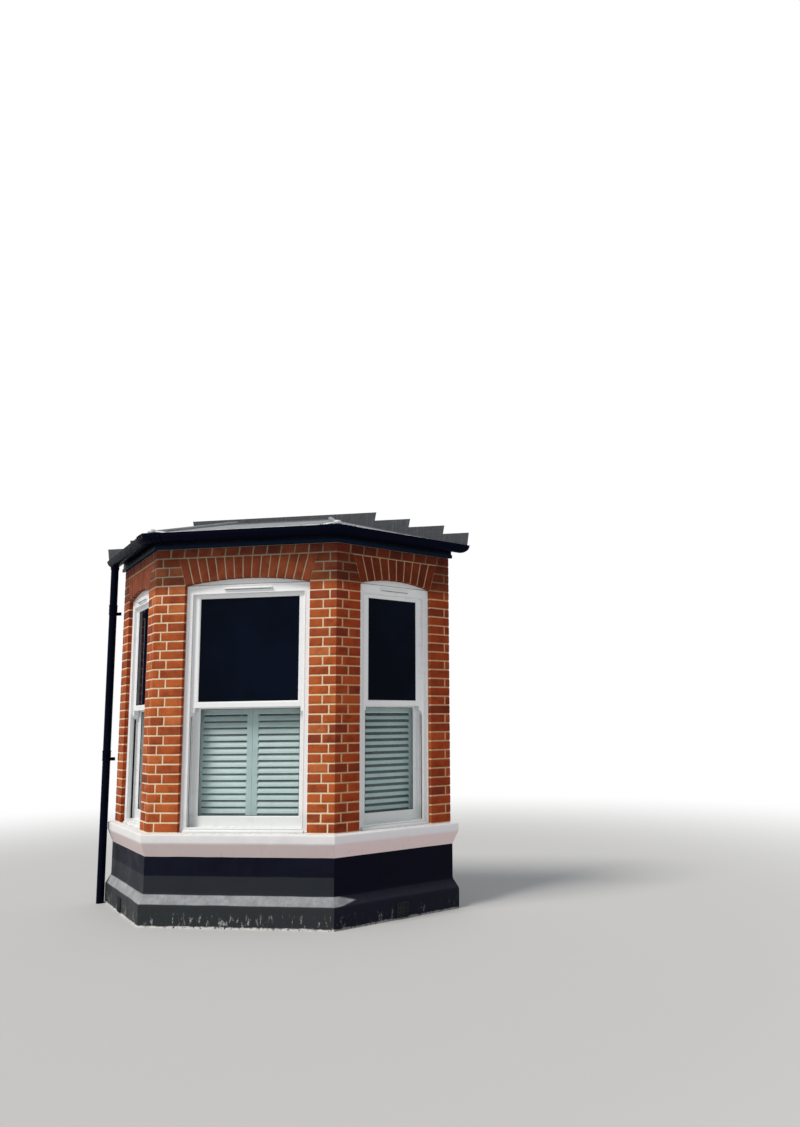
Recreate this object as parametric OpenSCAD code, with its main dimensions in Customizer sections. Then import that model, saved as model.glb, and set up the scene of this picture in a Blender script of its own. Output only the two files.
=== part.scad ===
// Canted brick bay window of a terraced house, with three sliding sash windows,
// a painted sill and plinth, cambered brick arches and a shallow hipped lead roof.
// The house wall is the plane y = 0, the bay stands out towards -Y, ground is z = 0.

/* [Plan] */
// Width of the front face between its brick corners
front_w = 1514; // [1400:2:1900]
// Length of each canted face, from front corner to house wall
cant_len = 1070; // [960:10:1400]
// Turn of each canted face away from the front face, in degrees
cant_angle = 45; // [40:1:60]
// Thickness of the brick walls
wall_t = 215; // [200:1:240]
// Front face of the left corner pier
pier_front_left = 249; // [215:1:300]
// Front face of the right corner pier
pier_front_right = 216; // [200:1:300]
// Canted face of each corner pier
pier_cant_corner = 210; // [190:1:260]
// Canted face of each pier beside the house wall
pier_cant_wall = 190; // [180:1:250]

/* [Heights] */
// Height of one brick course with its joint
course_h = 75; // [68:1:80]
// Top of the sill above ground
sill_z = 700; // [600:5:800]
// Courses from the sill to the springing of the arches
jamb_courses = 26; // [20:1:30]
// Courses in the depth of the arches
arch_courses = 3; // [3:1:4]
// Top of the timber floor above ground
floor_z = 250; // [220:5:300]

/* [Plinth] */
// How far the render stands proud of the brick
render_t = 12; // [5:1:20]
// How far the foot of the plinth stands out past its upper face
foot_out = 38; // [20:1:60]
// Height of the plinth foot below its splay
foot_h = 165; // [130:5:180]
// Height of the splay on top of the plinth foot
foot_splay_h = 80; // [40:5:100]

/* [Sill] */
// How far the sill stands out past the brick face
sill_out = 50; // [30:1:80]
// Height of the upright face of the sill
sill_face_h = 60; // [50:1:80]
// Height of the splay below the sill face
sill_splay_h = 110; // [60:1:120]
// Fall of the sill top from brick face to its outer edge
sill_fall = 8; // [4:1:12]
// Depth of the sill bedded into the wall
sill_bed = 100; // [90:1:120]

/* [Arches] */
// Rise of the cambered soffits
arch_rise = 48; // [30:1:70]
// Sideways lean of the arch ends over the arch depth
skew = 62; // [30:1:70]

/* [Windows] */
// Setback of the window frames behind the brick face
reveal = 35; // [20:1:60]
// Depth of the window frames
frame_d = 125; // [120:1:135]
// Sealant gap round the frames
frame_gap = 3; // [2:1:6]
// Width of frame that shows beside the sashes
frame_face = 54; // [45:1:70]
// Height of frame below the springing line that shows over the sashes
head_drop = 74; // [50:1:90]
// Height of the frame's bottom rail
frame_foot = 36; // [30:1:50]
// Width of sash stile that shows past the frame
sash_face = 42; // [36:1:55]
// Height of the upper sash's top rail that shows below the frame
top_face = 22; // [16:1:50]
// Thickness of the sashes
sash_t = 42; // [38:1:46]
// Height of the meeting rails
meeting_h = 36; // [30:1:50]
// Height of the bottom rail of the lower sash
bottom_rail_h = 72; // [60:1:110]
// Height of the middle of the meeting rails above the sill
meeting_z = 984; // [900:1:1050]
// Thickness of the sealed glass units
glass_t = 20; // [16:1:24]
// Length of the horns under the upper sash
horn_h = 62; // [40:1:80]

/* [Shutters] */
// Thickness of the shutter panels
shutter_t = 28; // [24:1:34]
// Width of the strips beside the shutters, which their hinges are fixed to
shutter_strip = 50; // [30:1:70]
// Width of the shutter stiles
shutter_stile = 45; // [38:1:60]
// Height of the shutters' bottom rails
shutter_rail = 54; // [45:1:80]
// Height of the shutters' top rails
shutter_head = 86; // [60:1:110]
// Distance between louvres
louvre_pitch = 52; // [44:1:60]
// Width of a louvre blade
louvre_w = 64; // [50:1:70]
// Thickness of a louvre blade
louvre_t = 10; // [8:1:14]
// Tilt of the front louvres from level, in degrees
louvre_tilt = 60; // [20:1:70]
// Tilt of the louvres in the canted faces, in degrees
louvre_tilt_cant = 60; // [20:1:70]

/* [Eaves] */
// Thickness of the fascia board
fascia_t = 20; // [15:1:30]
// Height of the fascia board
fascia_h = 110; // [90:1:140]
// Radius of the half round gutter
gutter_r = 56; // [50:1:62]
// Wall thickness of gutter and downpipe
gutter_wall = 3; // [2:0.5:5]
// Radius of the downpipe
pipe_r = 32; // [28:1:34]
// Gap between the downpipe and the widest part of the plinth
pipe_gap = 8; // [6:1:14]

/* [Roof] */
// Pitch of the roof slopes, in degrees
roof_pitch = 19; // [14:0.5:20]
// How far the lead runs out past the brick face
eaves_out = 60; // [40:1:90]
// Thickness of the roof boards
deck_t = 22; // [18:1:30]
// Thickness of the lead
lead_t = 4; // [3:0.5:6]
// Radius of the rolls on the hips
roll_r = 22; // [18:1:30]
// Width of a rafter
rafter_w = 47; // [38:1:60]
// Depth of a rafter
rafter_h = 90; // [70:1:110]

/* [Inside] */
// Thickness of the plaster lining
plaster_t = 15; // [10:1:25]
// Thickness of the window boards
board_t = 25; // [20:1:32]
// How far the window boards stand into the room past the plaster
board_out = 45; // [30:1:80]
// Thickness of the ceiling
ceiling_t = 15; // [12:1:25]
// Thickness of the floorboards
floor_t = 22; // [18:1:28]
// Width of a floor joist
joist_w = 50; // [45:1:75]
// Depth of a floor joist
joist_h = 100; // [90:1:110]
// Thickness of the oversite concrete
oversite_t = 100; // [80:5:110]

/* [Hidden] */

// Plan of the bay
half_front = front_w / 2;
depth = cant_len * sin(cant_angle);
half_wall = half_front + cant_len * cos(cant_angle);
mitre = tan(cant_angle / 2);
far = 600;

// Levels
spring_z = sill_z + jamb_courses * course_h;
arch_top_z = spring_z + arch_courses * course_h;
wall_top_z = arch_top_z + course_h;
fascia_gap = 5;
fascia_z = wall_top_z + fascia_gap;
eaves_z = fascia_z + fascia_h;

// Corner of the plan outline grown outwards by e, and its end at the house wall
function corner_x(e) = half_front + e * mitre;
function corner_y(e) = -depth - e;
function end_x(e) = half_wall + e / sin(cant_angle);

// The part of the plan that belongs to one face, cut on the mitres and the wall plane
module front_wedge() {
    polygon([
        [-corner_x(far), corner_y(far)], [corner_x(far), corner_y(far)],
        [corner_x(-depth), 0], [-corner_x(-depth), 0]
    ]);
}
module right_wedge() {
    polygon([[corner_x(far), corner_y(far)], [end_x(far), 0], [corner_x(-depth), 0]]);
}

tall = 5000;

// Each face has its own frame: x along the face, y inwards from the brick, z up
module on_front() {
    intersection() {
        translate([0, -depth, 0]) children();
        linear_extrude(tall) front_wedge();
    }
}
module on_right() {
    intersection() {
        translate([half_front, -depth, 0]) rotate(cant_angle) children();
        linear_extrude(tall) right_wedge();
    }
}
module on_left() mirror([1, 0, 0]) on_right() children();

// Free copies of the same frames, for pieces that stay clear of the mitres
module at_front() translate([0, -depth, 0]) children();
module at_right() translate([half_front, -depth, 0]) rotate(cant_angle) children();
module at_left() mirror([1, 0, 0]) at_right() children();

// A profile of [y, z] points run along a face from x0 to x1
module run(x0, x1) {
    translate([x0, 0, 0]) rotate([90, 0, 90]) linear_extrude(x1 - x0) children();
}
// An elevation of [x, z] points given a depth from y0 to y1
module elevation(y0, y1) {
    translate([0, y1, 0]) rotate([90, 0, 0]) linear_extrude(y1 - y0) children();
}
reach = 3000;
module along() run(-reach, reach) children();

// Window openings on each face, as [left, right] edges
front_open = [-half_front + pier_front_left, half_front - pier_front_right];
cant_open = [pier_cant_corner, cant_len - pier_cant_wall];

// Plinth and sill

module plinth_profile() {
    top = sill_z - sill_fall - sill_face_h - sill_splay_h;
    polygon([
        [-render_t - foot_out, 0], [-render_t - foot_out, foot_h],
        [-render_t, foot_h + foot_splay_h], [-render_t, top], [0, top],
        [0, sill_z - sill_face_h], [sill_bed, sill_z - sill_face_h],
        [sill_bed, sill_z], [wall_t, sill_z], [wall_t, 0]
    ]);
}
module sill_profile() {
    face_top = sill_z - sill_fall;
    face_low = face_top - sill_face_h;
    polygon([
        [-sill_out, face_top], [-sill_out, face_low],
        [-render_t, face_low - sill_splay_h], [0, face_low - sill_splay_h],
        [0, sill_z - sill_face_h], [sill_bed, sill_z - sill_face_h],
        [sill_bed, sill_z], [0, sill_z]
    ]);
}
vent_w = 100;
vent_h = 115;
vent_x = 572;
vent_z = 70;

module plinth_front() color("#1d1f24") on_front() along() plinth_profile();
module plinth_right() color("#1d1f24") on_right() along() plinth_profile();
module plinth_left() color("#1d1f24") on_left() along() plinth_profile();
module sill_front() color("#eceff1") on_front() along() sill_profile();
module sill_right() color("#eceff1") on_right() along() sill_profile();
module sill_left() color("#eceff1") on_left() along() sill_profile();

// A grating of upright slots, fixed on the foot of the plinth
vent_t = 8;
vent_slots = 5;
vent_slot_h = 80;
module air_vent() {
    pitch = vent_w / (vent_slots + 1);
    face = -render_t - foot_out;
    difference() {
        translate([vent_x - vent_w / 2, face - vent_t, vent_z - vent_h / 2])
            cube([vent_w, vent_t, vent_h]);
        for (i = [1:vent_slots])
            translate([vent_x - vent_w / 2 + i * pitch, face - vent_t, vent_z])
                cube([pitch / 2, vent_t, vent_slot_h], center = true);
    }
}
module air_vents() {
    color("#1d1f24") {
        at_right() air_vent();
        at_left() air_vent();
    }
}

// Piers and arches

// Wedge that the end of an arch takes from a pier with its edge at x
skewback_over = 10;
module skewback(x, lean) {
    slope = lean / (arch_top_z - spring_z);
    elevation(-skewback_over, wall_t + skewback_over) polygon([
        [x, spring_z], [x + lean + slope * skewback_over, arch_top_z + skewback_over],
        [x - lean, arch_top_z + skewback_over], [x - lean, spring_z]
    ]);
}
// Plan point x along the canted face and y inwards from its brick
function on_cant(x, y) = [half_front, -depth]
    + x * [cos(cant_angle), sin(cant_angle)] + y * [-sin(cant_angle), cos(cant_angle)];

// A corner pier goes round the corner in one piece, from front_edge to the canted window
module corner_pier(front_edge) {
    difference() {
        translate([0, 0, sill_z]) linear_extrude(arch_top_z - sill_z) polygon([
            [front_edge, -depth], [half_front, -depth],
            on_cant(cant_open[0], 0), on_cant(cant_open[0], wall_t),
            [corner_x(-wall_t), corner_y(-wall_t)], [front_edge, wall_t - depth]
        ]);
        at_front() skewback(front_edge, skew);
        at_right() skewback(cant_open[0], -skew);
    }
}
module wall_pier() {
    on_right() difference() {
        elevation(0, wall_t) translate([cant_open[1], sill_z])
            square([far, arch_top_z - sill_z]);
        skewback(cant_open[1], skew);
    }
}
module pier_right_wall() color("#b5532f") wall_pier();
module pier_left_wall() color("#b5532f") mirror([1, 0, 0]) wall_pier();
module pier_right_corner() color("#b5532f") corner_pier(front_open[1]);
module pier_left_corner() color("#b5532f") mirror([1, 0, 0]) corner_pier(-front_open[0]);

// The cambered soffit of an opening follows one circle
arch_steps = 24;
function arch_r(open) = (pow((open[1] - open[0]) / 2, 2) + pow(arch_rise, 2)) / (2 * arch_rise);
function arch_mid(open) = [(open[0] + open[1]) / 2, spring_z + arch_rise - arch_r(open)];
function arch_line(open) = [
    for (i = [0:arch_steps])
        let (
            half = asin((open[1] - open[0]) / 2 / arch_r(open)),
            a = half * (1 - 2 * i / arch_steps)
        )
        arch_mid(open) + arch_r(open) * [sin(a), cos(a)]
];
module arch_elevation(open) {
    polygon(concat(
        [[open[0] - skew, arch_top_z], [open[1] + skew, arch_top_z]],
        arch_line(open)
    ));
}
module arch_front() color("#a8482b") on_front() elevation(0, wall_t) arch_elevation(front_open);
module arch_right() color("#a8482b") on_right() elevation(0, wall_t) arch_elevation(cant_open);
module arch_left() color("#a8482b") on_left() elevation(0, wall_t) arch_elevation(cant_open);

module header_profile() translate([0, arch_top_z]) square([wall_t, course_h]);
module header_course_front() color("#8f3d27") on_front() along() header_profile();
module header_course_right() color("#8f3d27") on_right() along() header_profile();
module header_course_left() color("#8f3d27") on_left() along() header_profile();

// Windows

// The sashes run behind the frame's lip by this lap
lap = 15;
sash_gap = 2;
bead = 6;
lip = 20;
frame_y = [reveal, reveal + frame_d];
head_z = spring_z - head_drop;
foot_z = sill_z + frame_foot;
outer_track = [frame_y[0] + lip, frame_y[0] + lip + sash_t];
inner_track = [outer_track[1] + bead, outer_track[1] + bead + sash_t];

module frame_outline(open) {
    intersection() {
        translate([open[0] + frame_gap, sill_z])
            square([open[1] - open[0] - 2 * frame_gap, spring_z + arch_rise - sill_z]);
        union() {
            translate(arch_mid(open)) circle(r = arch_r(open) - frame_gap, $fn = 360);
            translate([open[0], 0]) square([open[1] - open[0], spring_z - frame_gap]);
        }
    }
}
module sight(open, side, top, bottom) {
    translate([open[0] + side, bottom]) square([open[1] - open[0] - 2 * side, top - bottom]);
}
// The cover of the trickle vent on the frame's head
cover_front_w = 398;
cover_cant_w = 254;
cover_t = 12;
cover_h = 18;
cover_up = 26;
module vent_cover(open, w) {
    translate([(open[0] + open[1] - w) / 2, frame_y[0] - cover_t, head_z + cover_up])
        cube([w, cover_t, cover_h]);
}
module window_frame(open, cover_w) {
    side = frame_gap + frame_face;
    difference() {
        elevation(frame_y[0], frame_y[1]) frame_outline(open);
        elevation(frame_y[0] - 1, frame_y[1] + 1) sight(open, side, head_z, foot_z);
        elevation(outer_track[0], outer_track[1]) sight(open, side - lap, head_z + lap, foot_z);
        elevation(inner_track[0], inner_track[1]) sight(open, side - lap, head_z + lap, foot_z);
    }
    vent_cover(open, cover_w);
}
module frame_front() color("#f2f4f5") at_front() window_frame(front_open, cover_front_w);
module frame_right() color("#f2f4f5") at_right() window_frame(cant_open, cover_cant_w);
module frame_left() color("#f2f4f5") at_left() window_frame(cant_open, cover_cant_w);

// A sash of outer size w by h, with a groove that holds the glass
groove = 8;
module sight_hole(w, h, top_rail, low_rail, grow, y0, y1) {
    translate([stile_w - grow, y0, low_rail - grow])
        cube([w - 2 * stile_w + 2 * grow, y1 - y0, h - low_rail - top_rail + 2 * grow]);
}
module pane(w, h, top_rail, low_rail) {
    sight_hole(w, h, top_rail, low_rail, groove, (sash_t - glass_t) / 2, (sash_t + glass_t) / 2);
}
module sash(w, h, top_rail, low_rail) {
    difference() {
        cube([w, sash_t, h]);
        sight_hole(w, h, top_rail, low_rail, 0, -1, sash_t + 1);
        pane(w, h, top_rail, low_rail);
    }
}
// A horn with a curved foot under the end of the meeting rail
horn_w = 40;
horn_curve = 28;
module horn() {
    rotate([90, 0, 0]) translate([0, 0, -sash_t]) linear_extrude(sash_t) difference() {
        translate([0, -horn_h]) square([horn_w, horn_h]);
        translate([horn_w, -horn_h]) circle(r = horn_curve, $fn = 48);
    }
}

stile_w = sash_face + lap - sash_gap;
top_rail_h = top_face + lap - sash_gap;
meet_top = sill_z + meeting_z + meeting_h / 2;
meet_low = sill_z + meeting_z - meeting_h / 2;
upper_h = head_z + lap - sash_gap - meet_low;
lower_h = meet_top - foot_z;
function sash_x(open) = open[0] + frame_gap + frame_face - lap + sash_gap;
function sash_w(open) = open[1] - open[0] - 2 * (frame_gap + frame_face - lap + sash_gap);

module upper_sash(open) {
    w = sash_w(open);
    translate([sash_x(open), outer_track[0], meet_low]) {
        sash(w, upper_h, top_rail_h, meeting_h);
        horn();
        translate([w, 0, 0]) mirror([1, 0, 0]) horn();
    }
}
module lower_sash(open) {
    translate([sash_x(open), inner_track[0], foot_z])
        sash(sash_w(open), lower_h, meeting_h, bottom_rail_h);
}
module window_glass(open) {
    w = sash_w(open);
    translate([sash_x(open), outer_track[0], meet_low]) pane(w, upper_h, top_rail_h, meeting_h);
    translate([sash_x(open), inner_track[0], foot_z]) pane(w, lower_h, meeting_h, bottom_rail_h);
}
module upper_sash_front() color("#f2f4f5") at_front() upper_sash(front_open);
module upper_sash_right() color("#f2f4f5") at_right() upper_sash(cant_open);
module upper_sash_left() color("#f2f4f5") at_left() upper_sash(cant_open);
module lower_sash_front() color("#f2f4f5") at_front() lower_sash(front_open);
module lower_sash_right() color("#f2f4f5") at_right() lower_sash(cant_open);
module lower_sash_left() color("#f2f4f5") at_left() lower_sash(cant_open);
module glass_front() color("#9fb6c4") at_front() window_glass(front_open);
module glass_right() color("#9fb6c4") at_right() window_glass(cant_open);
module glass_left() color("#9fb6c4") at_left() window_glass(cant_open);

// Shutters

shutter_z = sill_z + board_t;
shutter_h = meet_top - shutter_z;
// The louvres clear the back of the window frame by this gap
louvre_gap = 2;
function louvre_half(tilt) = (louvre_w * cos(tilt) + louvre_t * sin(tilt)) / 2;
louvre_reach = max(louvre_half(louvre_tilt), louvre_half(louvre_tilt_cant));
shutter_y = frame_y[1] + louvre_gap + max(louvre_reach - shutter_t / 2, 0);

module louvre(w, tilt) {
    rotate([0, 90, 0]) rotate(tilt) linear_extrude(w) intersection() {
        translate([louvre_bow, 0]) circle(r = louvre_r, $fn = 96);
        translate([-louvre_bow, 0]) circle(r = louvre_r, $fn = 96);
    }
}
// Two arcs that cross at the blade's edges give its lens shaped section
louvre_r = (pow(louvre_w / 2, 2) + pow(louvre_t / 2, 2)) / louvre_t;
louvre_bow = louvre_r - louvre_t / 2;

module shutter_panel(w, tilt) {
    space = shutter_h - shutter_rail - shutter_head;
    count = floor(space / louvre_pitch);
    first = shutter_rail + (space - (count - 1) * louvre_pitch) / 2;
    difference() {
        cube([w, shutter_t, shutter_h]);
        translate([shutter_stile, -1, shutter_rail])
            cube([w - 2 * shutter_stile, shutter_t + 2, space]);
    }
    for (i = [0:count - 1])
        translate([shutter_stile, shutter_t / 2, first + i * louvre_pitch])
            louvre(w - 2 * shutter_stile, tilt);
}
panel_gap = 2;
module shutters(open, panels, tilt) {
    strips = [open[0] + panel_gap, open[1] - panel_gap - shutter_strip];
    first = strips[0] + shutter_strip + panel_gap;
    w = (strips[1] - first - panel_gap * panels) / panels;
    for (x = strips)
        translate([x, shutter_y, shutter_z]) cube([shutter_strip, shutter_t, shutter_h]);
    for (i = [0:panels - 1])
        translate([first + i * (w + panel_gap), shutter_y, shutter_z])
            shutter_panel(w, tilt);
}
module shutters_front() color("#8b9a94") at_front() shutters(front_open, 2, louvre_tilt);
// On the canted faces the shutters end at the wall plane
shutter_end = (depth - (shutter_y + shutter_t) * cos(cant_angle)) / sin(cant_angle);
cant_space = [cant_open[0], min(cant_open[1], shutter_end)];
module shutters_right() color("#8b9a94") at_right() shutters(cant_space, 1, louvre_tilt_cant);
module shutters_left() color("#8b9a94") at_left() shutters(cant_space, 1, louvre_tilt_cant);

// Inside

mitre_gap = 1;
// A hairline cut in each mitre keeps the three runs of a piece apart
module part_mitres() {
    difference() {
        children();
        for (side = [-1, 1])
            translate([side * half_front, -depth, -1])
                rotate(side * (cant_angle / 2 - 90) + 90)
                    translate([-mitre_gap / 2, -reach / 2, 0]) cube([mitre_gap, reach, tall]);
    }
}
module three_runs() {
    part_mitres() {
        on_front() along() children();
        on_right() along() children();
        on_left() along() children();
    }
}
room_face = wall_t + plaster_t;
module board_in(open) {
    run(open[0], open[1]) translate([frame_y[1], sill_z]) square([room_face - frame_y[1], board_t]);
}
module window_boards() {
    color("#f2f4f5") {
        three_runs() translate([room_face, sill_z]) square([board_out, board_t]);
        on_front() board_in(front_open);
        on_right() board_in(cant_open);
        on_left() board_in(cant_open);
    }
}
ceiling_z = arch_top_z;
module lining_panel(open) {
    difference() {
        along() translate([wall_t, floor_z]) square([plaster_t, ceiling_z - floor_z]);
        elevation(wall_t - 1, room_face + 1)
            translate([open[0], sill_z]) square([open[1] - open[0], spring_z - sill_z]);
    }
}
module plaster_lining() {
    color("#e9e6df") part_mitres() {
        on_front() lining_panel(front_open);
        on_right() lining_panel(cant_open);
        on_left() lining_panel(cant_open);
    }
}

// A level sheet that fills the room inside the walls
module room_plan(inset) {
    e = -wall_t - inset;
    polygon([
        [-corner_x(e), corner_y(e)], [corner_x(e), corner_y(e)],
        [end_x(e), 0], [-end_x(e), 0]
    ]);
}
module ceiling() color("#f0eee8") translate([0, 0, ceiling_z]) linear_extrude(ceiling_t) room_plan(0);
module floorboards() {
    color("#a9794b") translate([0, 0, floor_z - floor_t]) linear_extrude(floor_t) room_plan(0);
}
joist_rows = 3;
module floor_joists() {
    step = (depth - wall_t - joist_w) / joist_rows;
    color("#b58a5a") intersection() {
        translate([0, 0, floor_z - floor_t - joist_h]) linear_extrude(joist_h) room_plan(0);
        for (i = [0:joist_rows])
            translate([-reach, -joist_w - i * step, 0]) cube([2 * reach, joist_w, tall]);
    }
}
module oversite() color("#9b9a96") linear_extrude(oversite_t) room_plan(0);

// Eaves

plate_h = 75;
plate_w = 100;
module wall_plates() {
    color("#b58a5a") three_runs() translate([0, wall_top_z]) square([plate_w, plate_h]);
}
module fascia() {
    color("#17191d") three_runs() translate([-fascia_t, fascia_z]) square([fascia_t, fascia_h]);
}
gutter_off = fascia_t + gutter_wall + gutter_r;
gutter_drop = 12;
gutter_z = eaves_z - gutter_drop;
// Lower half of a round bar on the gutter's middle line
module gutter_half(r) {
    translate([-gutter_off, gutter_z]) difference() {
        circle(r = r, $fn = 64);
        translate([-2 * gutter_r, 0]) square([4 * gutter_r, 2 * gutter_r]);
    }
}
module gutter_shell(inner, outer) {
    difference() {
        gutter_half(outer);
        translate([-gutter_off, gutter_z]) circle(r = inner, $fn = 64);
    }
}
mid_wall = gutter_r - gutter_wall / 2;
module gutter_cant() {
    on_right() along() gutter_shell(gutter_r - gutter_wall, gutter_r);
    // Stop end on the wall plane
    intersection() {
        on_right() along() gutter_half(mid_wall);
        translate([0, -gutter_wall, 0]) cube([reach, gutter_wall, tall]);
    }
}
outlet_h = 30;
pipe_fit = 0.5;
pipe_wall_gap = 14;
pipe_top = gutter_z - gutter_r;
pipe_off = max(sill_out, render_t + foot_out) + pipe_gap + pipe_r;
pipe_y = -pipe_r - pipe_wall_gap;
pipe_x = -(end_x(pipe_off) + pipe_y / tan(cant_angle));
module pipe_bar(r, z, h) translate([pipe_x, pipe_y, z]) cylinder(r = r, h = h, $fn = 64);
module outlet() {
    difference() {
        pipe_bar(pipe_r + pipe_fit + gutter_wall, pipe_top - outlet_h, outlet_h + gutter_r);
        on_left() along() gutter_half(mid_wall);
    }
}
module gutter() {
    color("#17191d") part_mitres() difference() {
        union() {
            on_front() along() gutter_shell(gutter_r - gutter_wall, gutter_r);
            gutter_cant();
            mirror([1, 0, 0]) gutter_cant();
            outlet();
        }
        pipe_bar(pipe_r + pipe_fit, pipe_top - outlet_h - 1, gutter_r + outlet_h);
    }
}
// A union wraps the gutter at each corner, in two halves that meet on the mitre
union_w = 90;
module gutter_union() {
    on_front() run(half_front - union_w, half_front + far) gutter_shell(gutter_r, gutter_r + gutter_wall);
    on_right() run(-far, union_w) gutter_shell(gutter_r, gutter_r + gutter_wall);
}
module gutter_unions() {
    color("#17191d") part_mitres() {
        gutter_union();
        mirror([1, 0, 0]) gutter_union();
    }
}
module downpipe() {
    color("#17191d") difference() {
        pipe_bar(pipe_r, 0, pipe_top);
        pipe_bar(pipe_r - gutter_wall, -1, tall);
    }
}
// Clips hold the pipe against the house wall
clip_low_z = 1230;
clip_under_top = 450;
clip_h = 30;
clip_ear = 22;
clip_t = 6;
clip_neck = 40;
module pipe_clips() {
    color("#17191d") for (z = [clip_low_z, pipe_top - clip_under_top]) difference() {
        union() {
            pipe_bar(pipe_r + gutter_wall, z, clip_h);
            translate([pipe_x - pipe_r - clip_ear, -clip_t, z])
                cube([2 * (pipe_r + clip_ear), clip_t, clip_h]);
            translate([pipe_x - clip_neck / 2, pipe_y, z])
                cube([clip_neck, -pipe_y, clip_h]);
        }
        pipe_bar(pipe_r, z - 1, clip_h + 2);
    }
}

// Roof

// A sheet between heights t0 and t1 above the underside of the roof boards
module slope(t0, t1) {
    translate([0, -fascia_t, eaves_z]) rotate([roof_pitch, 0, 0])
        translate([-reach, -(eaves_out - fascia_t) / cos(roof_pitch), t0])
            cube([2 * reach, reach, t1 - t0]);
}
module three_slopes(t0, t1) {
    on_front() slope(t0, t1);
    on_right() slope(t0, t1);
    on_left() slope(t0, t1);
}
module roof_boards() color("#9c7a52") three_slopes(0, deck_t);
module lead_front() color("#8d9298") on_front() slope(deck_t, deck_t + lead_t);
module lead_right() color("#8d9298") on_right() slope(deck_t, deck_t + lead_t);
module lead_left() color("#8d9298") on_left() slope(deck_t, deck_t + lead_t);

lead_rise = (deck_t + lead_t) / cos(roof_pitch);
// Height of the lead's top at offset e from the brick face
function lead_z(e) = eaves_z + lead_rise + (fascia_t - e) * tan(roof_pitch);
hip_slope = atan(tan(roof_pitch) * cos(cant_angle / 2));
hip_len = 2 * depth;
module hip_roll() {
    translate([corner_x(eaves_out), corner_y(eaves_out), lead_z(eaves_out)])
        rotate(90 + cant_angle / 2) rotate([0, 90 - hip_slope, 0])
            cylinder(r = roll_r, h = hip_len, $fn = 48);
}
module behind_wall() translate([-reach, 0, 0]) cube([2 * reach, reach, tall]);
module hip_rolls() {
    color("#9aa0a6") difference() {
        union() {
            hip_roll();
            mirror([1, 0, 0]) hip_roll();
        }
        three_slopes(-2 * roll_r, deck_t + lead_t);
        behind_wall();
    }
}

// Common, jack and hip rafters seat on the wall plates; commons are placed from the
// middle of the front face and jacks from the front corner along the canted face
common_at = [-355, 0, 355];
jack_at = [450, 770];
module rafter_bars() {
    for (x = common_at)
        translate([x - rafter_w / 2, -reach, 0]) cube([rafter_w, reach, tall]);
    for (side = [0, 1]) mirror([side, 0, 0]) {
        at_right() for (x = jack_at)
            translate([x - rafter_w / 2, 0, 0]) cube([rafter_w, reach, tall]);
        translate([corner_x(0), corner_y(0), 0]) rotate(90 + cant_angle / 2)
            translate([0, -rafter_w / 2, 0]) cube([hip_len, rafter_w, tall]);
    }
}
module rafters() {
    color("#b58a5a") difference() {
        intersection() {
            three_slopes(-rafter_h, 0);
            rafter_bars();
            translate([0, 0, wall_top_z + plate_h]) linear_extrude(tall) room_plan(-wall_t);
        }
        behind_wall();
    }
}

// Stepped flashing let into every course of the house wall, with an apron on the lead
flash_t = 5;
flash_up = 65;
flash_over_ridge = 35;
step_lean = 14;
apron_w = 150;
apron_t = 3;
flash_end = end_x(fascia_t + 2 * gutter_r);
// Steps start on the first course that clears the eaves and end over the top of the slopes
flash_first = ceil((lead_z(fascia_t) + flash_up - wall_top_z) / course_h);
flash_steps = ceil((lead_z(-depth) + flash_over_ridge - step_z(0)) / course_h);
function step_z(i) = wall_top_z + (flash_first + i) * course_h;
function step_x(i) = end_x(fascia_t)
    - (step_z(i) - flash_up - eaves_z - lead_rise) / (tan(roof_pitch) * sin(cant_angle));
function step_points() = concat(
    [[flash_end - step_lean, eaves_z], [flash_end, step_z(0)]],
    [for (i = [0:flash_steps - 1])
        each [[step_x(i), step_z(i)], [step_x(i) + step_lean, step_z(i + 1)]]]
);
module flashing() {
    half = step_points();
    color("#6f757c") difference() {
        union() {
            for (side = [0, 1]) mirror([side, 0, 0])
                elevation(-flash_t, 0) polygon(concat([[0, eaves_z]], half, [[0, step_z(flash_steps)]]));
            intersection() {
                three_slopes(deck_t + lead_t, deck_t + lead_t + apron_t);
                translate([-reach, -apron_w, 0]) cube([2 * reach, apron_w, tall]);
            }
        }
        three_slopes(-reach, deck_t + lead_t);
        hip_rolls();
    }
}

plinth_left();
plinth_front();
plinth_right();
air_vents();
sill_left();
sill_front();
sill_right();
pier_left_wall();
pier_left_corner();
pier_right_corner();
pier_right_wall();
arch_left();
arch_front();
arch_right();
header_course_left();
header_course_front();
header_course_right();
frame_left();
frame_front();
frame_right();
upper_sash_left();
upper_sash_front();
upper_sash_right();
lower_sash_left();
lower_sash_front();
lower_sash_right();
glass_left();
glass_front();
glass_right();
shutters_left();
shutters_front();
shutters_right();
window_boards();
wall_plates();
fascia();
gutter();
gutter_unions();
downpipe();
pipe_clips();
rafters();
roof_boards();
lead_left();
lead_front();
lead_right();
hip_rolls();
flashing();
plaster_lining();
ceiling();
floorboards();
floor_joists();
oversite();
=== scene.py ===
"""Looks of a canted brick bay window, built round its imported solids, in metres."""
import random
from math import cos, dist, pi, radians, sin, sqrt, tan

import bmesh
import bpy
from mathutils import Matrix, Vector, noise

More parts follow.
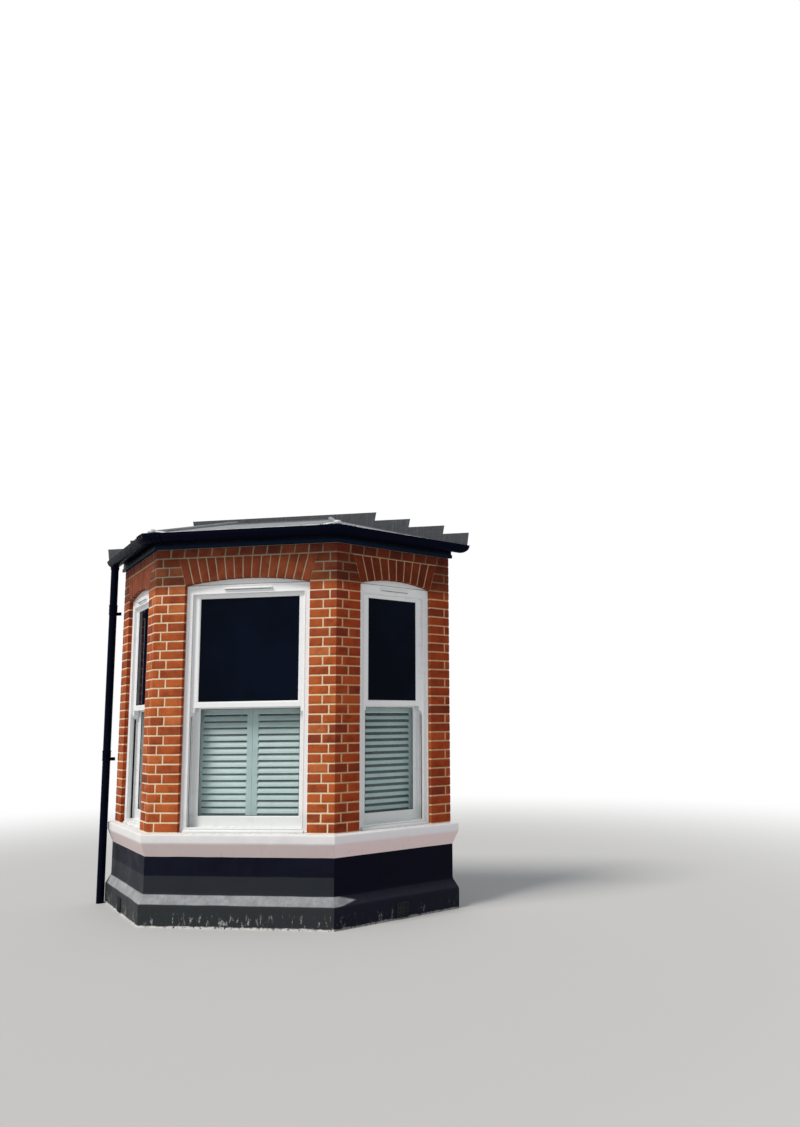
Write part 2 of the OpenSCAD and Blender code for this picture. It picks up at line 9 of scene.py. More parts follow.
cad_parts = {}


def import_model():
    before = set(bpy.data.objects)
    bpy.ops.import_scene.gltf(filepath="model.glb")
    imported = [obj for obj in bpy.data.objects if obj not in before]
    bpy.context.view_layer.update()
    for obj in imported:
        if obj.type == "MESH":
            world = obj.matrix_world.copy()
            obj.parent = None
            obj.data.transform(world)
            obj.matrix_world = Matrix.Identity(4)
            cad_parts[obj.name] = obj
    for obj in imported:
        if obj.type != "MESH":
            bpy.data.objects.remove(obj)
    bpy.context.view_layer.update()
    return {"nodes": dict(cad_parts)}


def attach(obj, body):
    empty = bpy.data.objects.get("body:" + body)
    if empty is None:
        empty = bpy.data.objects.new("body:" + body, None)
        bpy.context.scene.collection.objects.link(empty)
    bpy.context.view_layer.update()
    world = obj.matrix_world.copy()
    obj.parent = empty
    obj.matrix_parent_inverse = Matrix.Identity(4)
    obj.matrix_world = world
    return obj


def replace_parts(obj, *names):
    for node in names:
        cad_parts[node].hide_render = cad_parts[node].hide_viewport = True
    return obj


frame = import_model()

NODES = frame["nodes"]
rng = random.Random(4)
# Without a seed this noise would differ from run to run
noise.seed_set(4)

# Plan of the bay
HALF = 0.757
CANT = 1.07
ANGLE = radians(45)
SIN, COS, MITRE = sin(ANGLE), cos(ANGLE), tan(ANGLE / 2)
DEPTH = CANT * SIN
HALF_WALL = HALF + CANT * COS
WALL = 0.215
ROOM_FACE = WALL + 0.015
SIDES = {"left": -1, "right": 1}
PIER = {"left": 0.249, "right": 0.216}
FRONT_OPEN = (-HALF + PIER["left"], HALF - PIER["right"])
CANT_OPEN = (0.21, CANT - 0.19)
OPEN = {"left": CANT_OPEN, "front": FRONT_OPEN, "right": CANT_OPEN}
# What is cut on the wall plane runs this far past it
PAST = 0.001

# Levels
SILL = 0.7
COURSE = 0.075
JAMB_COURSES, ARCH_COURSES = 26, 3
SPRING = SILL + JAMB_COURSES * COURSE
ARCH_TOP = SPRING + ARCH_COURSES * COURSE
WALL_TOP = ARCH_TOP + COURSE
EAVES = WALL_TOP + 0.115
FLOOR = 0.25
# Rise of the arches, and how far their skewbacks lean
RISE = 0.048
SKEW = 0.062

# Bricks: joints, how far they stand out of the mortar, how deep they are, and lengths of special ones
JOINT = 0.011
PROUD = 0.0022
JAMB_PROUD = 0.0018
BRICK_DEEP = 0.1025
LONG_WING, SHORT_WING = 0.102, 0.048
CUT_BRICK = 0.14

# Sill and plinth: offsets from the brick face, and levels; SPLAY is the foot's slope
SILL_OUT, RENDER, FOOT_OUT = 0.05, 0.012, 0.05
SILL_NOSE = SILL - 0.008
SILL_DRIP = SILL_NOSE - 0.06
PLINTH_TOP = SILL_DRIP - 0.11
BED = 0.632
SPLAY = (0.165, 0.245)

# Windows: depths of the frame and of the two sash tracks behind the brick face
FRAME_Y = (0.035, 0.16)
OUTER_Y = 0.055
INNER_Y = 0.103
GAP = 0.003
SIDE = 0.054
HEAD = SPRING - 0.074
FOOT = SILL + 0.036
MEET = SILL + 0.984
MEET_H = 0.036
STILE = 0.042
TOP_RAIL = 0.022
BOTTOM_RAIL = 0.072
VENT_W = {"front": 0.398, "right": 0.254, "left": 0.254}
VENT_Z = HEAD + 0.026

# Louvres: foot of the lowest blade, and the distance from blade to blade
LOUVRE_PITCH = 0.052
LOUVRE_FOOT = 0.7798

# Roof, gutter and downpipe
PITCH = radians(19)
LEAD_TOP = 0.026 / cos(PITCH)
LEAD_EDGE = 0.06
APRON = 0.15
FASCIA_T = 0.02
FASCIA_Z = WALL_TOP + 0.005
GUTTER_R = 0.056
GUTTER_E = FASCIA_T + 0.003 + GUTTER_R
GUTTER_Z = EAVES - 0.012
PIPE_R = 0.032
PIPE_TOP = GUTTER_Z - GUTTER_R
PIPE_Y = -PIPE_R - 0.014
PIPE_X = -(HALF_WALL + (FOOT_OUT + 0.008 + PIPE_R) / SIN + PIPE_Y / tan(ANGLE))

# Each face has its own axes: X along it, Y into the wall, Z up; the left one mirrors the right
X_AXIS, Z_AXIS = Vector((1, 0, 0)), Vector((0, 0, 1))
RIGHT_FACE = Matrix.Translation((HALF, -DEPTH, 0)) @ Matrix.Rotation(ANGLE, 4, "Z")
FACE = {
    "front": Matrix.Translation((0, -DEPTH, 0)),
    "right": RIGHT_FACE,
    "left": Matrix.Scale(-1, 4, X_AXIS) @ RIGHT_FACE,
}


def corner_x(e):
    """How far the corners are from the middle at offset e from the brick face."""
    return HALF + e * MITRE


def wall_end(y):
    """Where the wall plane cuts a canted face at depth y."""
    return (DEPTH + PAST - y * COS) / SIN


def wall_depth(x):
    """How deep the wall plane lies behind point x of a canted face."""
    return (DEPTH + PAST - x * SIN) / COS


def spread(start, length, count):
    """Evenly spaced values, both ends included."""
    return [start + length * i / count for i in range(count + 1)]


# Materials


def toned(colour, by):
    return tuple(min(1, by * c) for c in colour)


def rgba(value):
    return (*value, 1) if isinstance(value, tuple) and len(value) == 3 else value


class Tree:
    """A short way to add nodes and to join them."""

    def __init__(self, tree):
        self.tree = tree

    def add(self, kind, sockets=None, **values):
        node = self.tree.nodes.new("ShaderNode" + kind)
        for key, value in values.items():
            setattr(node, key, value)
        self.fill(node, sockets or {})
        return node

    def fill(self, node, sockets):
        for key, value in sockets.items():
            self.put(node.inputs[key], value)

    def put(self, socket, value):
        if isinstance(value, bpy.types.NodeSocket):
            self.tree.links.new(value, socket)
        else:
            socket.default_value = value

    def math(self, operation, a, b=0.0):
        return self.add("Math", {0: a, 1: b}, operation=operation).outputs["Value"]

    def plus(self, a, b):
        return self.math("ADD", a, b)

    def rest(self, share):
        return self.math("SUBTRACT", 1.0, share)

    def times(self, *values):
        product = values[0]
        for value in values[1:]:
            product = self.math("MULTIPLY", product, value)
        return product

    def mask(self, value, low, high):
        sockets = {"Value": value, "From Min": low, "From Max": high}
        return self.add("MapRange", sockets, interpolation_type="SMOOTHSTEP").outputs["Result"]

    def seen_directly(self):
        """1 for what the camera sees, by itself or in gloss and glass."""
        path = self.add("LightPath").outputs
        seen = path["Is Camera Ray"]
        for name in ("Is Glossy Ray", "Is Transmission Ray"):
            seen = self.math("MAXIMUM", seen, path[name])
        return seen

    def blend(self, share, first, second, end):
        """Sends the shader first to the output node end, and the shader second for a share of it."""
        sockets = {0: share, 1: first.outputs[0], 2: second.outputs[0]}
        self.put(end.inputs["Surface"], self.add("MixShader", sockets).outputs[0])


class Nodes(Tree):
    """The nodes of one material, round its Principled shader."""

    def __init__(self, name):
        self.mat = bpy.data.materials.new(name)
        self.mat.use_nodes = True
        super().__init__(self.mat.node_tree)
        self.shader = self.tree.nodes["Principled BSDF"]
        geometry = self.add("NewGeometry")
        self.place = geometry.outputs["Position"]
        self.normal = geometry.outputs["Normal"]

    def scaled(self, scale):
        return self.add("Mapping", {"Vector": self.place, "Scale": scale}).outputs["Vector"]

    def noise(self, scale, detail=4.0, rough=0.6, stretch=(1, 1, 1), warp=0.0):
        sockets = {
            "Vector": self.scaled(stretch), "Scale": scale, "Detail": detail, "Roughness": rough,
            "Distortion": warp,
        }
        return self.add("TexNoise", sockets).outputs["Fac"]

    def patches(self, low, high, *args, **values):
        return self.mask(self.noise(*args, **values), low, high)

    def voronoi(self, scale):
        sockets = {"Vector": self.scaled((1, 1, 1)), "Scale": scale}
        return self.add("TexVoronoi", sockets).outputs["Distance"]

    def ramp(self, value, *stops):
        node = self.add("ValToRGB", {"Fac": value})
        marks = node.color_ramp.elements
        while len(marks) < len(stops):
            marks.new(0.5)
        for mark, (at, colour) in zip(marks, stops):
            mark.position = at
            mark.color = rgba(colour)
        return node.outputs["Color"]

    def mix(self, share, a, b, blend="MIX"):
        sockets = {0: share, 6: rgba(a), 7: rgba(b)}
        return self.add("Mix", sockets, data_type="RGBA", blend_type=blend).outputs[2]

    def over(self, tone, coat, *shares):
        """The tone under a coat whose strength is the product of the shares."""
        return self.mix(self.times(*shares), tone, coat)

    def tint(self, share, tone, by):
        """The tone, for a share of it multiplied by a colour."""
        return self.mix(share, tone, self.mix(1.0, tone, by, "MULTIPLY"))

    def grey(self, share, low, high):
        return self.mix(share, (low,) * 3, (high,) * 3)

    def axis(self, name, source=None):
        return self.add("SeparateXYZ", {0: source or self.place}).outputs[name]

    def right_side_shade(self):
        """1 on what faces the way of the right canted side, which is redder and duller: painted shade of
        that side.
        """
        return self.mask(self.axis("X", self.normal), 0.35, 0.6)

    def soot_and_eaves_shade(self, tone, share):
        """The tone, stained by soot and darkened by a painted shadow under the eaves, down to a share of its
        brightness.
        """
        return self.tint(self.mask(self.axis("Z"), 2.57, 2.69), tone, (share, share, 1.06 * share))

    def attribute(self, name):
        return self.add("Attribute", attribute_name=name).outputs["Fac"]

    def bump(self, *layers):
        """Each layer is (height, distance in metres)."""
        last = None
        for height, distance in layers:
            sockets = {"Strength": 1.0, "Distance": distance, "Height": height}
            if last:
                sockets["Normal"] = last
            last = self.add("Bump", sockets).outputs["Normal"]
        self.put(self.shader.inputs["Normal"], last)

    def finish(self, colour, rough, metallic=0.0, specular=0.5, coat=0.0):
        self.fill(self.shader, {
            "Base Color": rgba(colour), "Roughness": rough, "Metallic": metallic,
            "Specular IOR Level": specular, "Coat Weight": coat, "Coat Roughness": 0.12,
        })
        return self.mat


def brick_material(name, tones, speck=0.5, soot_and_shade=0.62):
    """Fired clay: a tone for each brick, cloudy burn marks, dark specks and pale dust; painted shade on the
    right side and under the eaves.
    """
    n = Nodes(name)
    clay = n.ramp(n.attribute("tone"), *tones)
    clay = n.tint(n.patches(0.38, 0.72, 9, 5, 0.65), clay, (0.62, 0.5, 0.46))
    grain = n.noise(160, 6, 0.7)
    clay = n.over(clay, (0.06, 0.02, 0.015), n.mask(grain, 0.56, 0.66), speck)
    clay = n.over(clay, (0.56, 0.24, 0.11), n.patches(0.58, 0.72, 55, 6, 0.75), 0.22)
    # Painted shade: the right side is darker and redder.
    clay = n.tint(n.right_side_shade(), clay, (0.76, 0.5, 0.36))
    n.bump((n.noise(45, 5, 0.6), 0.0012), (grain, 0.0008), (n.voronoi(190), 0.0006))
    return n.finish(n.soot_and_eaves_shade(clay, soot_and_shade), 0.88, specular=0.25)


def mortar_material(name, dark, light, grit, right=(0.8, 0.6, 0.52), soot_and_shade=0.62):
    """Sandy lime mortar; right is the colour that multiplies it on the right side, a painted shade."""
    n = Nodes(name)
    sand = n.noise(240, 5, 0.7)
    tone = n.ramp(n.noise(14, 4, 0.6), (0.3, dark), (0.7, light))
    tone = n.over(tone, grit, n.mask(sand, 0.55, 0.7), 0.35)
    # Painted shade: the right side is multiplied by the colour right.
    tone = n.tint(n.right_side_shade(), tone, right)
    n.bump((n.noise(60, 5, 0.6), 0.0012), (sand, 0.0009))
    return n.finish(n.soot_and_eaves_shade(tone, soot_and_shade), 0.95, specular=0.15)


def black_render_material():
    """Black paint: grey low down as painted sunlight below the sill's shadow, but not on the right side,
    which gets painted shade; dust and painted sunlight on the splay; salt at the foot.
    """
    n = Nodes("black_render")
    z, up, right = n.axis("Z"), n.axis("Z", n.normal), n.right_side_shade()
    patch = n.noise(5, 5, 0.6)
    paint = n.ramp(patch, (0.3, (0.0026, 0.0034, 0.01)), (0.7, (0.0058, 0.0074, 0.018)))
    # Painted light: below a wavy line at about 0.38 m the black turns grey as if sunlit, leaving the black
    # above as the sill's painted shadow; not on the right side.
    edge = n.plus(z, n.times(n.noise(3, 4, 0.6), 0.012))
    sunlit_below_sill = n.times(n.rest(n.mask(edge, 0.38, 0.39)), n.rest(right))
    paint = n.over(paint, (0.026, 0.03, 0.037), sunlit_below_sill, 0.8)
    # Painted light: the foot below the splay is a lighter grey, as if sunlit.
    paint = n.over(paint, (0.032, 0.036, 0.038), n.rest(n.mask(z, 0.18, 0.245)), 0.8)
    # Painted shade: the right side is darker and bluer.
    paint = n.tint(right, paint, (0.38, 0.35, 0.62))
    # The dust, with painted sunlight on the splay, tapers off on the right side just past the corner, where
    # painted shade takes over.
    from_middle = n.math("ABSOLUTE", n.times(n.math("SUBTRACT", z, 0.2), 2.6))
    past = n.plus(n.plus(n.axis("X"), from_middle), n.times(n.noise(30, 4, 0.6), 0.02))
    short_of = n.rest(n.times(n.mask(past, 0.885, 0.925), 0.97))
    cloud = n.plus(0.62, n.times(n.patches(0.3, 0.7, 14, 6, 0.7), 0.38))
    dust_and_sunlight = n.times(n.mask(up, 0.27, 0.38), cloud, short_of)
    paint = n.over(paint, (0.36, 0.375, 0.39), dust_and_sunlight, 0.94)
    runs = n.patches(0.56, 0.64, 26, 6, 0.7, stretch=(1, 1, 0.34), warp=0.5)
    low = n.times(n.rest(n.mask(z, 0.06, 0.125)), runs)
    # Painted shade: the salt is fainter on the right side.
    salt = n.times(n.patches(0.42, 0.56, 90, 6, 0.8), low, n.rest(n.times(right, 0.7)))
    paint = n.over(paint, (0.56, 0.57, 0.57), salt, 0.9)
    # A pale crust along the ground, fainter on the right side as painted shade
    crust = n.rest(n.mask(n.plus(z, n.times(n.noise(17, 5, 0.7), 0.03)), 0.024, 0.034))
    broken = n.times(crust, n.patches(0.34, 0.5, 50, 5, 0.7))
    paint = n.over(paint, (0.74, 0.73, 0.71), broken, 0.92, n.rest(n.times(right, 0.6)))
    n.bump((n.noise(7, 4, 0.5), 0.006), (n.noise(130, 6, 0.7), 0.001), (salt, 0.0012))
    return n.finish(paint, n.grey(n.mask(patch, 0.3, 0.7), 0.42, 0.62), specular=0.06)


def sill_material():
    """White paint, pink and streaked on the splay below it, with grime on top; the pink is painted light
    bounced up from the ground, and the right side is brighter as painted light.
    """
    n = Nodes("sill_paint")
    right = n.right_side_shade()
    paint = n.ramp(n.noise(6, 6, 0.65), (0.3, (0.69, 0.69, 0.69)), (0.7, (0.79, 0.78, 0.78)))
    # Painted light: the right side's paint is brighter and pinker.
    paint = n.mix(right, paint, (0.86, 0.82, 0.85))
    below = n.rest(n.mask(n.axis("Z"), 0.612, 0.632))
    # Painted light: the splay's underside is pink with light bounced up from the ground.
    painted_bounce = n.mix(right, (0.64, 0.51, 0.5), (0.88, 0.68, 0.66))
    paint = n.over(paint, painted_bounce, below, 0.85)
    grime = n.times(n.mask(n.axis("Z", n.normal), 0.3, 0.9), n.patches(0.45, 0.7, 22, 6, 0.7))
    paint = n.over(paint, (0.42, 0.41, 0.39), grime, 0.5)
    streak = n.patches(0.56, 0.72, 34, 5, 0.7, stretch=(1, 1, 0.12))
    paint = n.over(paint, (0.46, 0.38, 0.35), streak, below, 0.35)
    n.bump((n.noise(9, 4, 0.5), 0.003), (n.noise(150, 5, 0.6), 0.0006))
    return n.finish(paint, 0.5, specular=0.4)


def plastic_material():
    """White plastic, a little grey where rain runs, and a little darker below 0.8–0.9 m."""
    n = Nodes("white_plastic")
    film = n.noise(11, 5, 0.6)
    paint = n.ramp(film, (0.3, (0.87, 0.885, 0.895)), (0.7, (0.9, 0.91, 0.915)))
    rain = n.patches(0.6, 0.78, 30, 5, 0.7, stretch=(1, 1, 0.15))
    paint = n.over(paint, (0.6, 0.6, 0.59), rain, 0.1)
    paint = n.tint(n.rest(n.mask(n.axis("Z"), 0.8, 0.9)), paint, (0.87, 0.88, 0.87))
    n.bump((n.noise(420, 3, 0.5), 0.00012), (n.noise(6, 3, 0.5), 0.0008))
    return n.finish(paint, n.grey(n.mask(film, 0.35, 0.65), 0.26, 0.4), specular=0.5)


def shutter_material(name, shade_from, lift=1.0):
    """Pale green paint, brightened by lift; past a given share of its height a blade is dark under the next
    one, a painted shade.
    """
    n = Nodes(name)
    brush = n.noise(70, 5, 0.6, stretch=(0.15, 0.15, 1))
    worn, fresh = toned((0.43, 0.58, 0.58), lift), toned((0.5, 0.67, 0.67), lift)
    paint = n.ramp(n.noise(8, 4, 0.6), (0.3, worn), (0.7, fresh))
    paint = n.over(paint, (0.36, 0.49, 0.49), n.mask(brush, 0.55, 0.75), 0.2)
    # Painted shade: a dark band high on each blade's face, as if under the next blade.
    climb = n.math("DIVIDE", n.math("SUBTRACT", n.axis("Z"), LOUVRE_FOOT), LOUVRE_PITCH)
    painted_shade = n.mask(n.math("FRACT", climb), shade_from, shade_from + 0.07)
    blade = n.mask(n.axis("Z", n.normal), 0.2, 0.3)
    paint = n.over(paint, (0.004, 0.005, 0.007), painted_shade, blade, 0.98)
    n.bump((brush, 0.0004), (n.noise(8, 3, 0.5), 0.0008))
    return n.finish(paint, 0.42, specular=0.45)


def painted_wood_material():
    n = Nodes("white_board")
    paint = n.ramp(n.noise(5, 4, 0.6), (0.3, (0.74, 0.73, 0.7)), (0.7, (0.82, 0.81, 0.78)))
    n.bump((n.noise(60, 5, 0.6, stretch=(0.1, 0.6, 1)), 0.0004), (n.noise(8, 3, 0.5), 0.0008))
    return n.finish(paint, 0.4, specular=0.45)


def timber_material(name, light, dark, stretch, rough=0.75):
    """Straight grained timber; stretch draws the grain out along the board."""
    n = Nodes(name)
    grain = n.noise(38, 6, 0.62, stretch=stretch, warp=0.6)
    fibre = n.noise(230, 4, 0.6, stretch=stretch)
    wood = n.ramp(grain, (0.32, dark), (0.52, light), (0.72, toned(light, 0.85)))
    wood = n.over(wood, toned(dark, 0.55), n.mask(fibre, 0.5, 0.7), 0.35)
    wood = n.over(wood, toned(light, 0.6), n.attribute("tone"), 0.35)
    n.bump((grain, 0.001), (fibre, 0.0005))
    return n.finish(wood, rough, specular=0.3)


def lead_material(name, dark, light, rough=0.55, streaks=0.6):
    """Sheet lead: pale bloom in clouds, runs down the fall, and small dents."""
    n = Nodes(name)
    cloud = n.noise(7, 6, 0.65)
    tone = n.ramp(cloud, (0.3, dark), (0.75, light))
    runs = n.patches(0.5, 0.68, 95, 5, 0.7, stretch=(1, 1, 0.06))
    tone = n.over(tone, toned(light, 1.9), runs, streaks)
    n.bump((n.noise(22, 4, 0.5), 0.0035), (n.noise(150, 5, 0.6), 0.0005))
    roughness = n.grey(n.mask(cloud, 0.3, 0.7), rough - 0.1, rough + 0.15)
    return n.finish(tone, roughness, metallic=0.35)


def black_gloss_material(name, colour, rough=0.2, coat=0.35, specular=0.1):
    n = Nodes(name)
    dirt = n.noise(24, 6, 0.7)
    tone = n.over(colour, (0.05, 0.05, 0.055), n.mask(dirt, 0.62, 0.84), 0.12)
    n.bump((n.noise(9, 3, 0.5), 0.0012), (n.noise(240, 4, 0.6), 0.0001))
    return n.finish(tone, n.grey(n.mask(dirt, 0.35, 0.7), rough, rough + 0.22), specular=specular, coat=coat)


def vent_material():
    n = Nodes("painted_vent")
    tone = n.over((0.01, 0.011, 0.014), (0.06, 0.062, 0.066), n.patches(0.4, 0.62, 70, 5, 0.7), 0.5)
    n.bump((n.noise(150, 5, 0.7), 0.0008))
    return n.finish(tone, 0.6, specular=0.1)


def plaster_material(name, colour):
    n = Nodes(name)
    tone = n.mix(n.patches(0.3, 0.7, 4, 5, 0.6), colour, toned(colour, 0.9))
    n.bump((n.noise(5, 4, 0.5), 0.003), (n.noise(160, 4, 0.6), 0.0003))
    return n.finish(tone, 0.8, specular=0.25)


def concrete_material():
    n = Nodes("oversite_concrete")
    stone = n.voronoi(60)
    tone = n.ramp(n.noise(9, 6, 0.65), (0.3, (0.25, 0.245, 0.235)), (0.7, (0.4, 0.39, 0.37)))
    tone = n.over(tone, (0.2, 0.19, 0.17), n.mask(stone, 0.1, 0.4), 0.3)
    n.bump((stone, 0.0015), (n.noise(120, 6, 0.7), 0.0012))
    return n.finish(tone, 0.92, specular=0.2)


def glass_material(name, tint, opacity, specular):
    n = Nodes(name)
    roughness = n.grey(n.patches(0.35, 0.75, 5, 5, 0.6), 0.015, 0.045)
    # Painted reflection: big, paler clouds in the tint.
    tone = n.mix(n.patches(0.42, 0.62, 1.7, 3, 0.5), tint, toned(tint, 1.7))
    n.bump((n.noise(2.2, 2, 0.4), 0.0004))
    n.fill(n.shader, {"Alpha": opacity, "IOR": 1.5})
    return n.finish(tone, roughness, specular=specular)


BRICK_TONES = (
    (0.0, (0.18, 0.037, 0.019)), (0.2, (0.29, 0.056, 0.018)), (0.5, (0.42, 0.085, 0.02)),
    (0.8, (0.51, 0.115, 0.024)), (1.00, (0.55, 0.155, 0.045)),
)
# Painted shade: the rubbed arch bricks are darker, as in the eaves' shadow.
RUBBED_SHADED_TONES = (0.0, (0.2, 0.036, 0.012)), (0.5, (0.32, 0.062, 0.017)), (1.00, (0.4, 0.095, 0.027))
# The header course's darker bricks and mortar are painted shade of the eaves.
HEADER_SHADE_TONES = (0.0, (0.15, 0.032, 0.017)), (0.5, (0.26, 0.05, 0.02)), (1.00, (0.38, 0.075, 0.026))
# Bricks and mortar darken above 2.57–2.69 m: soot, and a painted shadow of the eaves.
BRICK = brick_material("brick_clay", BRICK_TONES, soot_and_shade=0.36)
RUBBED = brick_material("rubbed_brick", RUBBED_SHADED_TONES, speck=0.4)
HEADER_SHADE_BRICK = brick_material("header_shade_brick", HEADER_SHADE_TONES)
MORTAR = mortar_material(
    "lime_mortar", (0.68, 0.54, 0.34), (0.84, 0.71, 0.49), (0.44, 0.34, 0.2), soot_and_shade=0.3,
)
HEADER_SHADE_MORTAR = mortar_material("header_shade_mortar", (0.34, 0.26, 0.15), (0.52, 0.42, 0.26), (0.18, 0.13, 0.09))
# The arch mortar is darker as painted shade of the eaves; its right factor lifts it, undoing part of the
# right side's painted shade.
ARCH_SHADED_MORTAR = mortar_material(
    "arch_shaded_mortar", (0.46, 0.35, 0.21), (0.64, 0.52, 0.33), (0.28, 0.21, 0.13), right=(1.4, 1.15, 0.95),
)
BLACK_RENDER = black_render_material()
SILL_PAINT = sill_material()
PLASTIC = plastic_material()
# Copies per face: the painted shade under the blades starts lower on the right, and the right copy is
# brighter, a painted light.
SHUTTER = {
    "front": shutter_material("shutter_paint", 0.68),
    "right": shutter_material("shutter_paint_right", 0.5, 1.15),
    "left": shutter_material("shutter_paint_left", 0.6),
}
BOARD = painted_wood_material()
SAWN = timber_material("sawn_timber", (0.5, 0.34, 0.18), (0.3, 0.18, 0.085), (0.12, 1, 1))
DECK = timber_material("roof_boarding", (0.42, 0.3, 0.17), (0.25, 0.16, 0.08), (0.12, 1, 1))
FLOORING = timber_material("floor_timber", (0.36, 0.2, 0.1), (0.19, 0.095, 0.045), (0.1, 1, 1), 0.42)
LEAD = lead_material("roof_lead", (0.11, 0.12, 0.132), (0.26, 0.275, 0.29), 0.6, 0.15)
# Painted highlight: this lead is far paler than the roof's, as a glint of light on the drip and hip caps.
GLINT_LEAD = lead_material("glint_lead", (0.26, 0.27, 0.29), (0.74, 0.75, 0.77), 0.5, 0.12)
# The flashing's near-black grey is partly painted shade.
SHADED_FLASHING = lead_material("flashing_lead", (0.03, 0.034, 0.041), (0.062, 0.067, 0.076), 0.6, 0.5)
FASCIA = black_gloss_material("fascia_gloss", (0.004, 0.005, 0.011), 0.25, 0.02)
# Painted light: the strip's blue stands for the sky's light on the fascia's foot.
SKYLIT_FASCIA = black_gloss_material("fascia_painted_skylight", (0.002, 0.01, 0.03), 0.3, 0.0, 0.05)
GUTTER = black_gloss_material("gutter_plastic", (0.003, 0.0042, 0.0125), 0.24, 0.0, 0.01)
GASKET = black_gloss_material("gasket_rubber", (0.012, 0.012, 0.013), 0.5, 0.0)
SPACER = lead_material("spacer_bar", (0.45, 0.46, 0.47), (0.62, 0.63, 0.64), 0.35, 0.1)
PLASTER = plaster_material("cream_plaster", (0.8, 0.77, 0.7))
CEILING = plaster_material("ceiling_white", (0.84, 0.83, 0.8))
CONCRETE = concrete_material()
VENT = vent_material()
# Painted shade: the upper glass is nearly opaque dark blue for the dark room behind it; the lower glass's
# grey-green tint is partly a painted reflection.
SHADED_ROOM_GLASS = glass_material("glass_upper_painted_shade", (0.0012, 0.003, 0.0085), 0.965, 0.03)
CLEAR_GLASS = glass_material("glass_lower", (0.34, 0.42, 0.41), 0.045, 0.1)


# Mesh tools


def shown(name, data):
    """A new object in the scene."""
    made = bpy.data.objects.new(name, data)
    bpy.context.scene.collection.objects.link(made)
    return made


class Pile:
    """Gathers many small solids into one mesh, each with its own tone."""

    def __init__(self, face=None):
        self.place = FACE[face] if face else Matrix.Identity(4)
        self.verts, self.faces, self.tones = [], [], []

    def add(self, bm, tone=0.5, place=None):
        """Takes in the solid bm, in a place of its own or in that of the pile."""
        place = place or self.place
        first = len(self.verts)
        bm.verts.index_update()
        self.verts += [place @ v.co for v in bm.verts]
        self.tones += [tone] * len(bm.verts)
        flip = place.determinant() < 0
        for face in bm.faces:
            order = [first + v.index for v in face.verts]
            self.faces.append(order[::-1] if flip else order)
        bm.free()

    def box(self, x, y, z, bevel, segments=2):
        base = [(x[0], y[0], z[0]), (x[1], y[0], z[0]), (x[1], y[1], z[0]), (x[0], y[1], z[0])]
        self.add(prism(base, (0, 0, z[1] - z[0]), bevel, segments))

    def make(self, name, material, slot, sharp=35):
        mesh = bpy.data.meshes.new(name)
        mesh.from_pydata(self.verts, [], self.faces)
        mesh.validate()
        tone = mesh.attributes.new("tone", "FLOAT", "POINT")
        tone.data.foreach_set("value", self.tones)
        piece = shown(name, mesh)
        mesh.materials.append(material)
        mesh.shade_smooth()
        mesh.set_sharp_from_angle(angle=radians(sharp))
        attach(piece, "root")
        return piece


def prism(base, rise, bevel=0.002, segments=2):
    """A solid on the polygon base, raised by the vector rise, with rounded edges."""
    bm = bmesh.new()
    low = [bm.verts.new(p) for p in base]
    high = [bm.verts.new(Vector(p) + Vector(rise)) for p in base]
    count = len(low)
    bm.faces.new(low)
    bm.faces.new(high[::-1])
    for i in range(count):
        j = (i + 1) % count
        bm.faces.new((low[i], high[i], high[j], low[j]))
    bmesh.ops.recalc_face_normals(bm, faces=bm.faces[:])
    bmesh.ops.bevel(
        bm, geom=bm.edges[:], offset=bevel, segments=segments, profile=0.5, affect="EDGES",
        clamp_overlap=True,
    )
    return bm


def slice_up(bm, axis, step):
    """Cuts the solid across axis every step, so that it can be worn out of true."""
    along = [v.co.dot(axis) for v in bm.verts]
    low, high = min(along), max(along)
    for at in spread(low, high - low, max(1, round((high - low) / step)))[1:-1]:
        geom = bm.verts[:] + bm.edges[:] + bm.faces[:]
        bmesh.ops.bisect_plane(bm, geom=geom, plane_co=axis * at, plane_no=axis)


def wear(bm, amount, scale=22.0):
    """Moves the surface in and out with a noise that differs for each solid."""
    seed = Vector((rng.uniform(0, 90), rng.uniform(0, 90), rng.uniform(0, 90)))
    for v in bm.verts:
        v.co += noise.noise_vector(v.co * scale + seed) * amount
        v.co += noise.noise_vector(v.co * scale * 4 + seed) * amount * 0.4


def joined(verts, faces):
    """A bmesh of the faces, with points that coincide merged and the normals outwards."""
    bm = bmesh.new()
    made = [bm.verts.new(v) for v in verts]
    for face in faces:
        bm.faces.new([made[i] for i in face])
    bmesh.ops.remove_doubles(bm, verts=bm.verts[:], dist=0.00002)
    bmesh.ops.recalc_face_normals(bm, faces=bm.faces[:])
    return bm


def grid(rows, n, closed=True):
    """Faces that join rows of n points each, from the last row to the first too where closed."""
    faces = []
    for i in range(rows if closed else rows - 1):
        j = (i + 1) % rows
        for k in range(n):
            m = (k + 1) % n
            faces.append((i * n + k, i * n + m, j * n + m, j * n + k))
    return faces


def sweep(stations, profile):
    """Carries a closed profile of (offset, height) points along stations, each a function of offset."""
    rows, n = len(stations), len(profile)
    verts = [(*station(offset), height) for station in stations for offset, height in profile]
    caps = [tuple(range(n))[::-1], tuple(range((rows - 1) * n, rows * n))]
    return joined(verts, grid(rows, n, False) + caps)


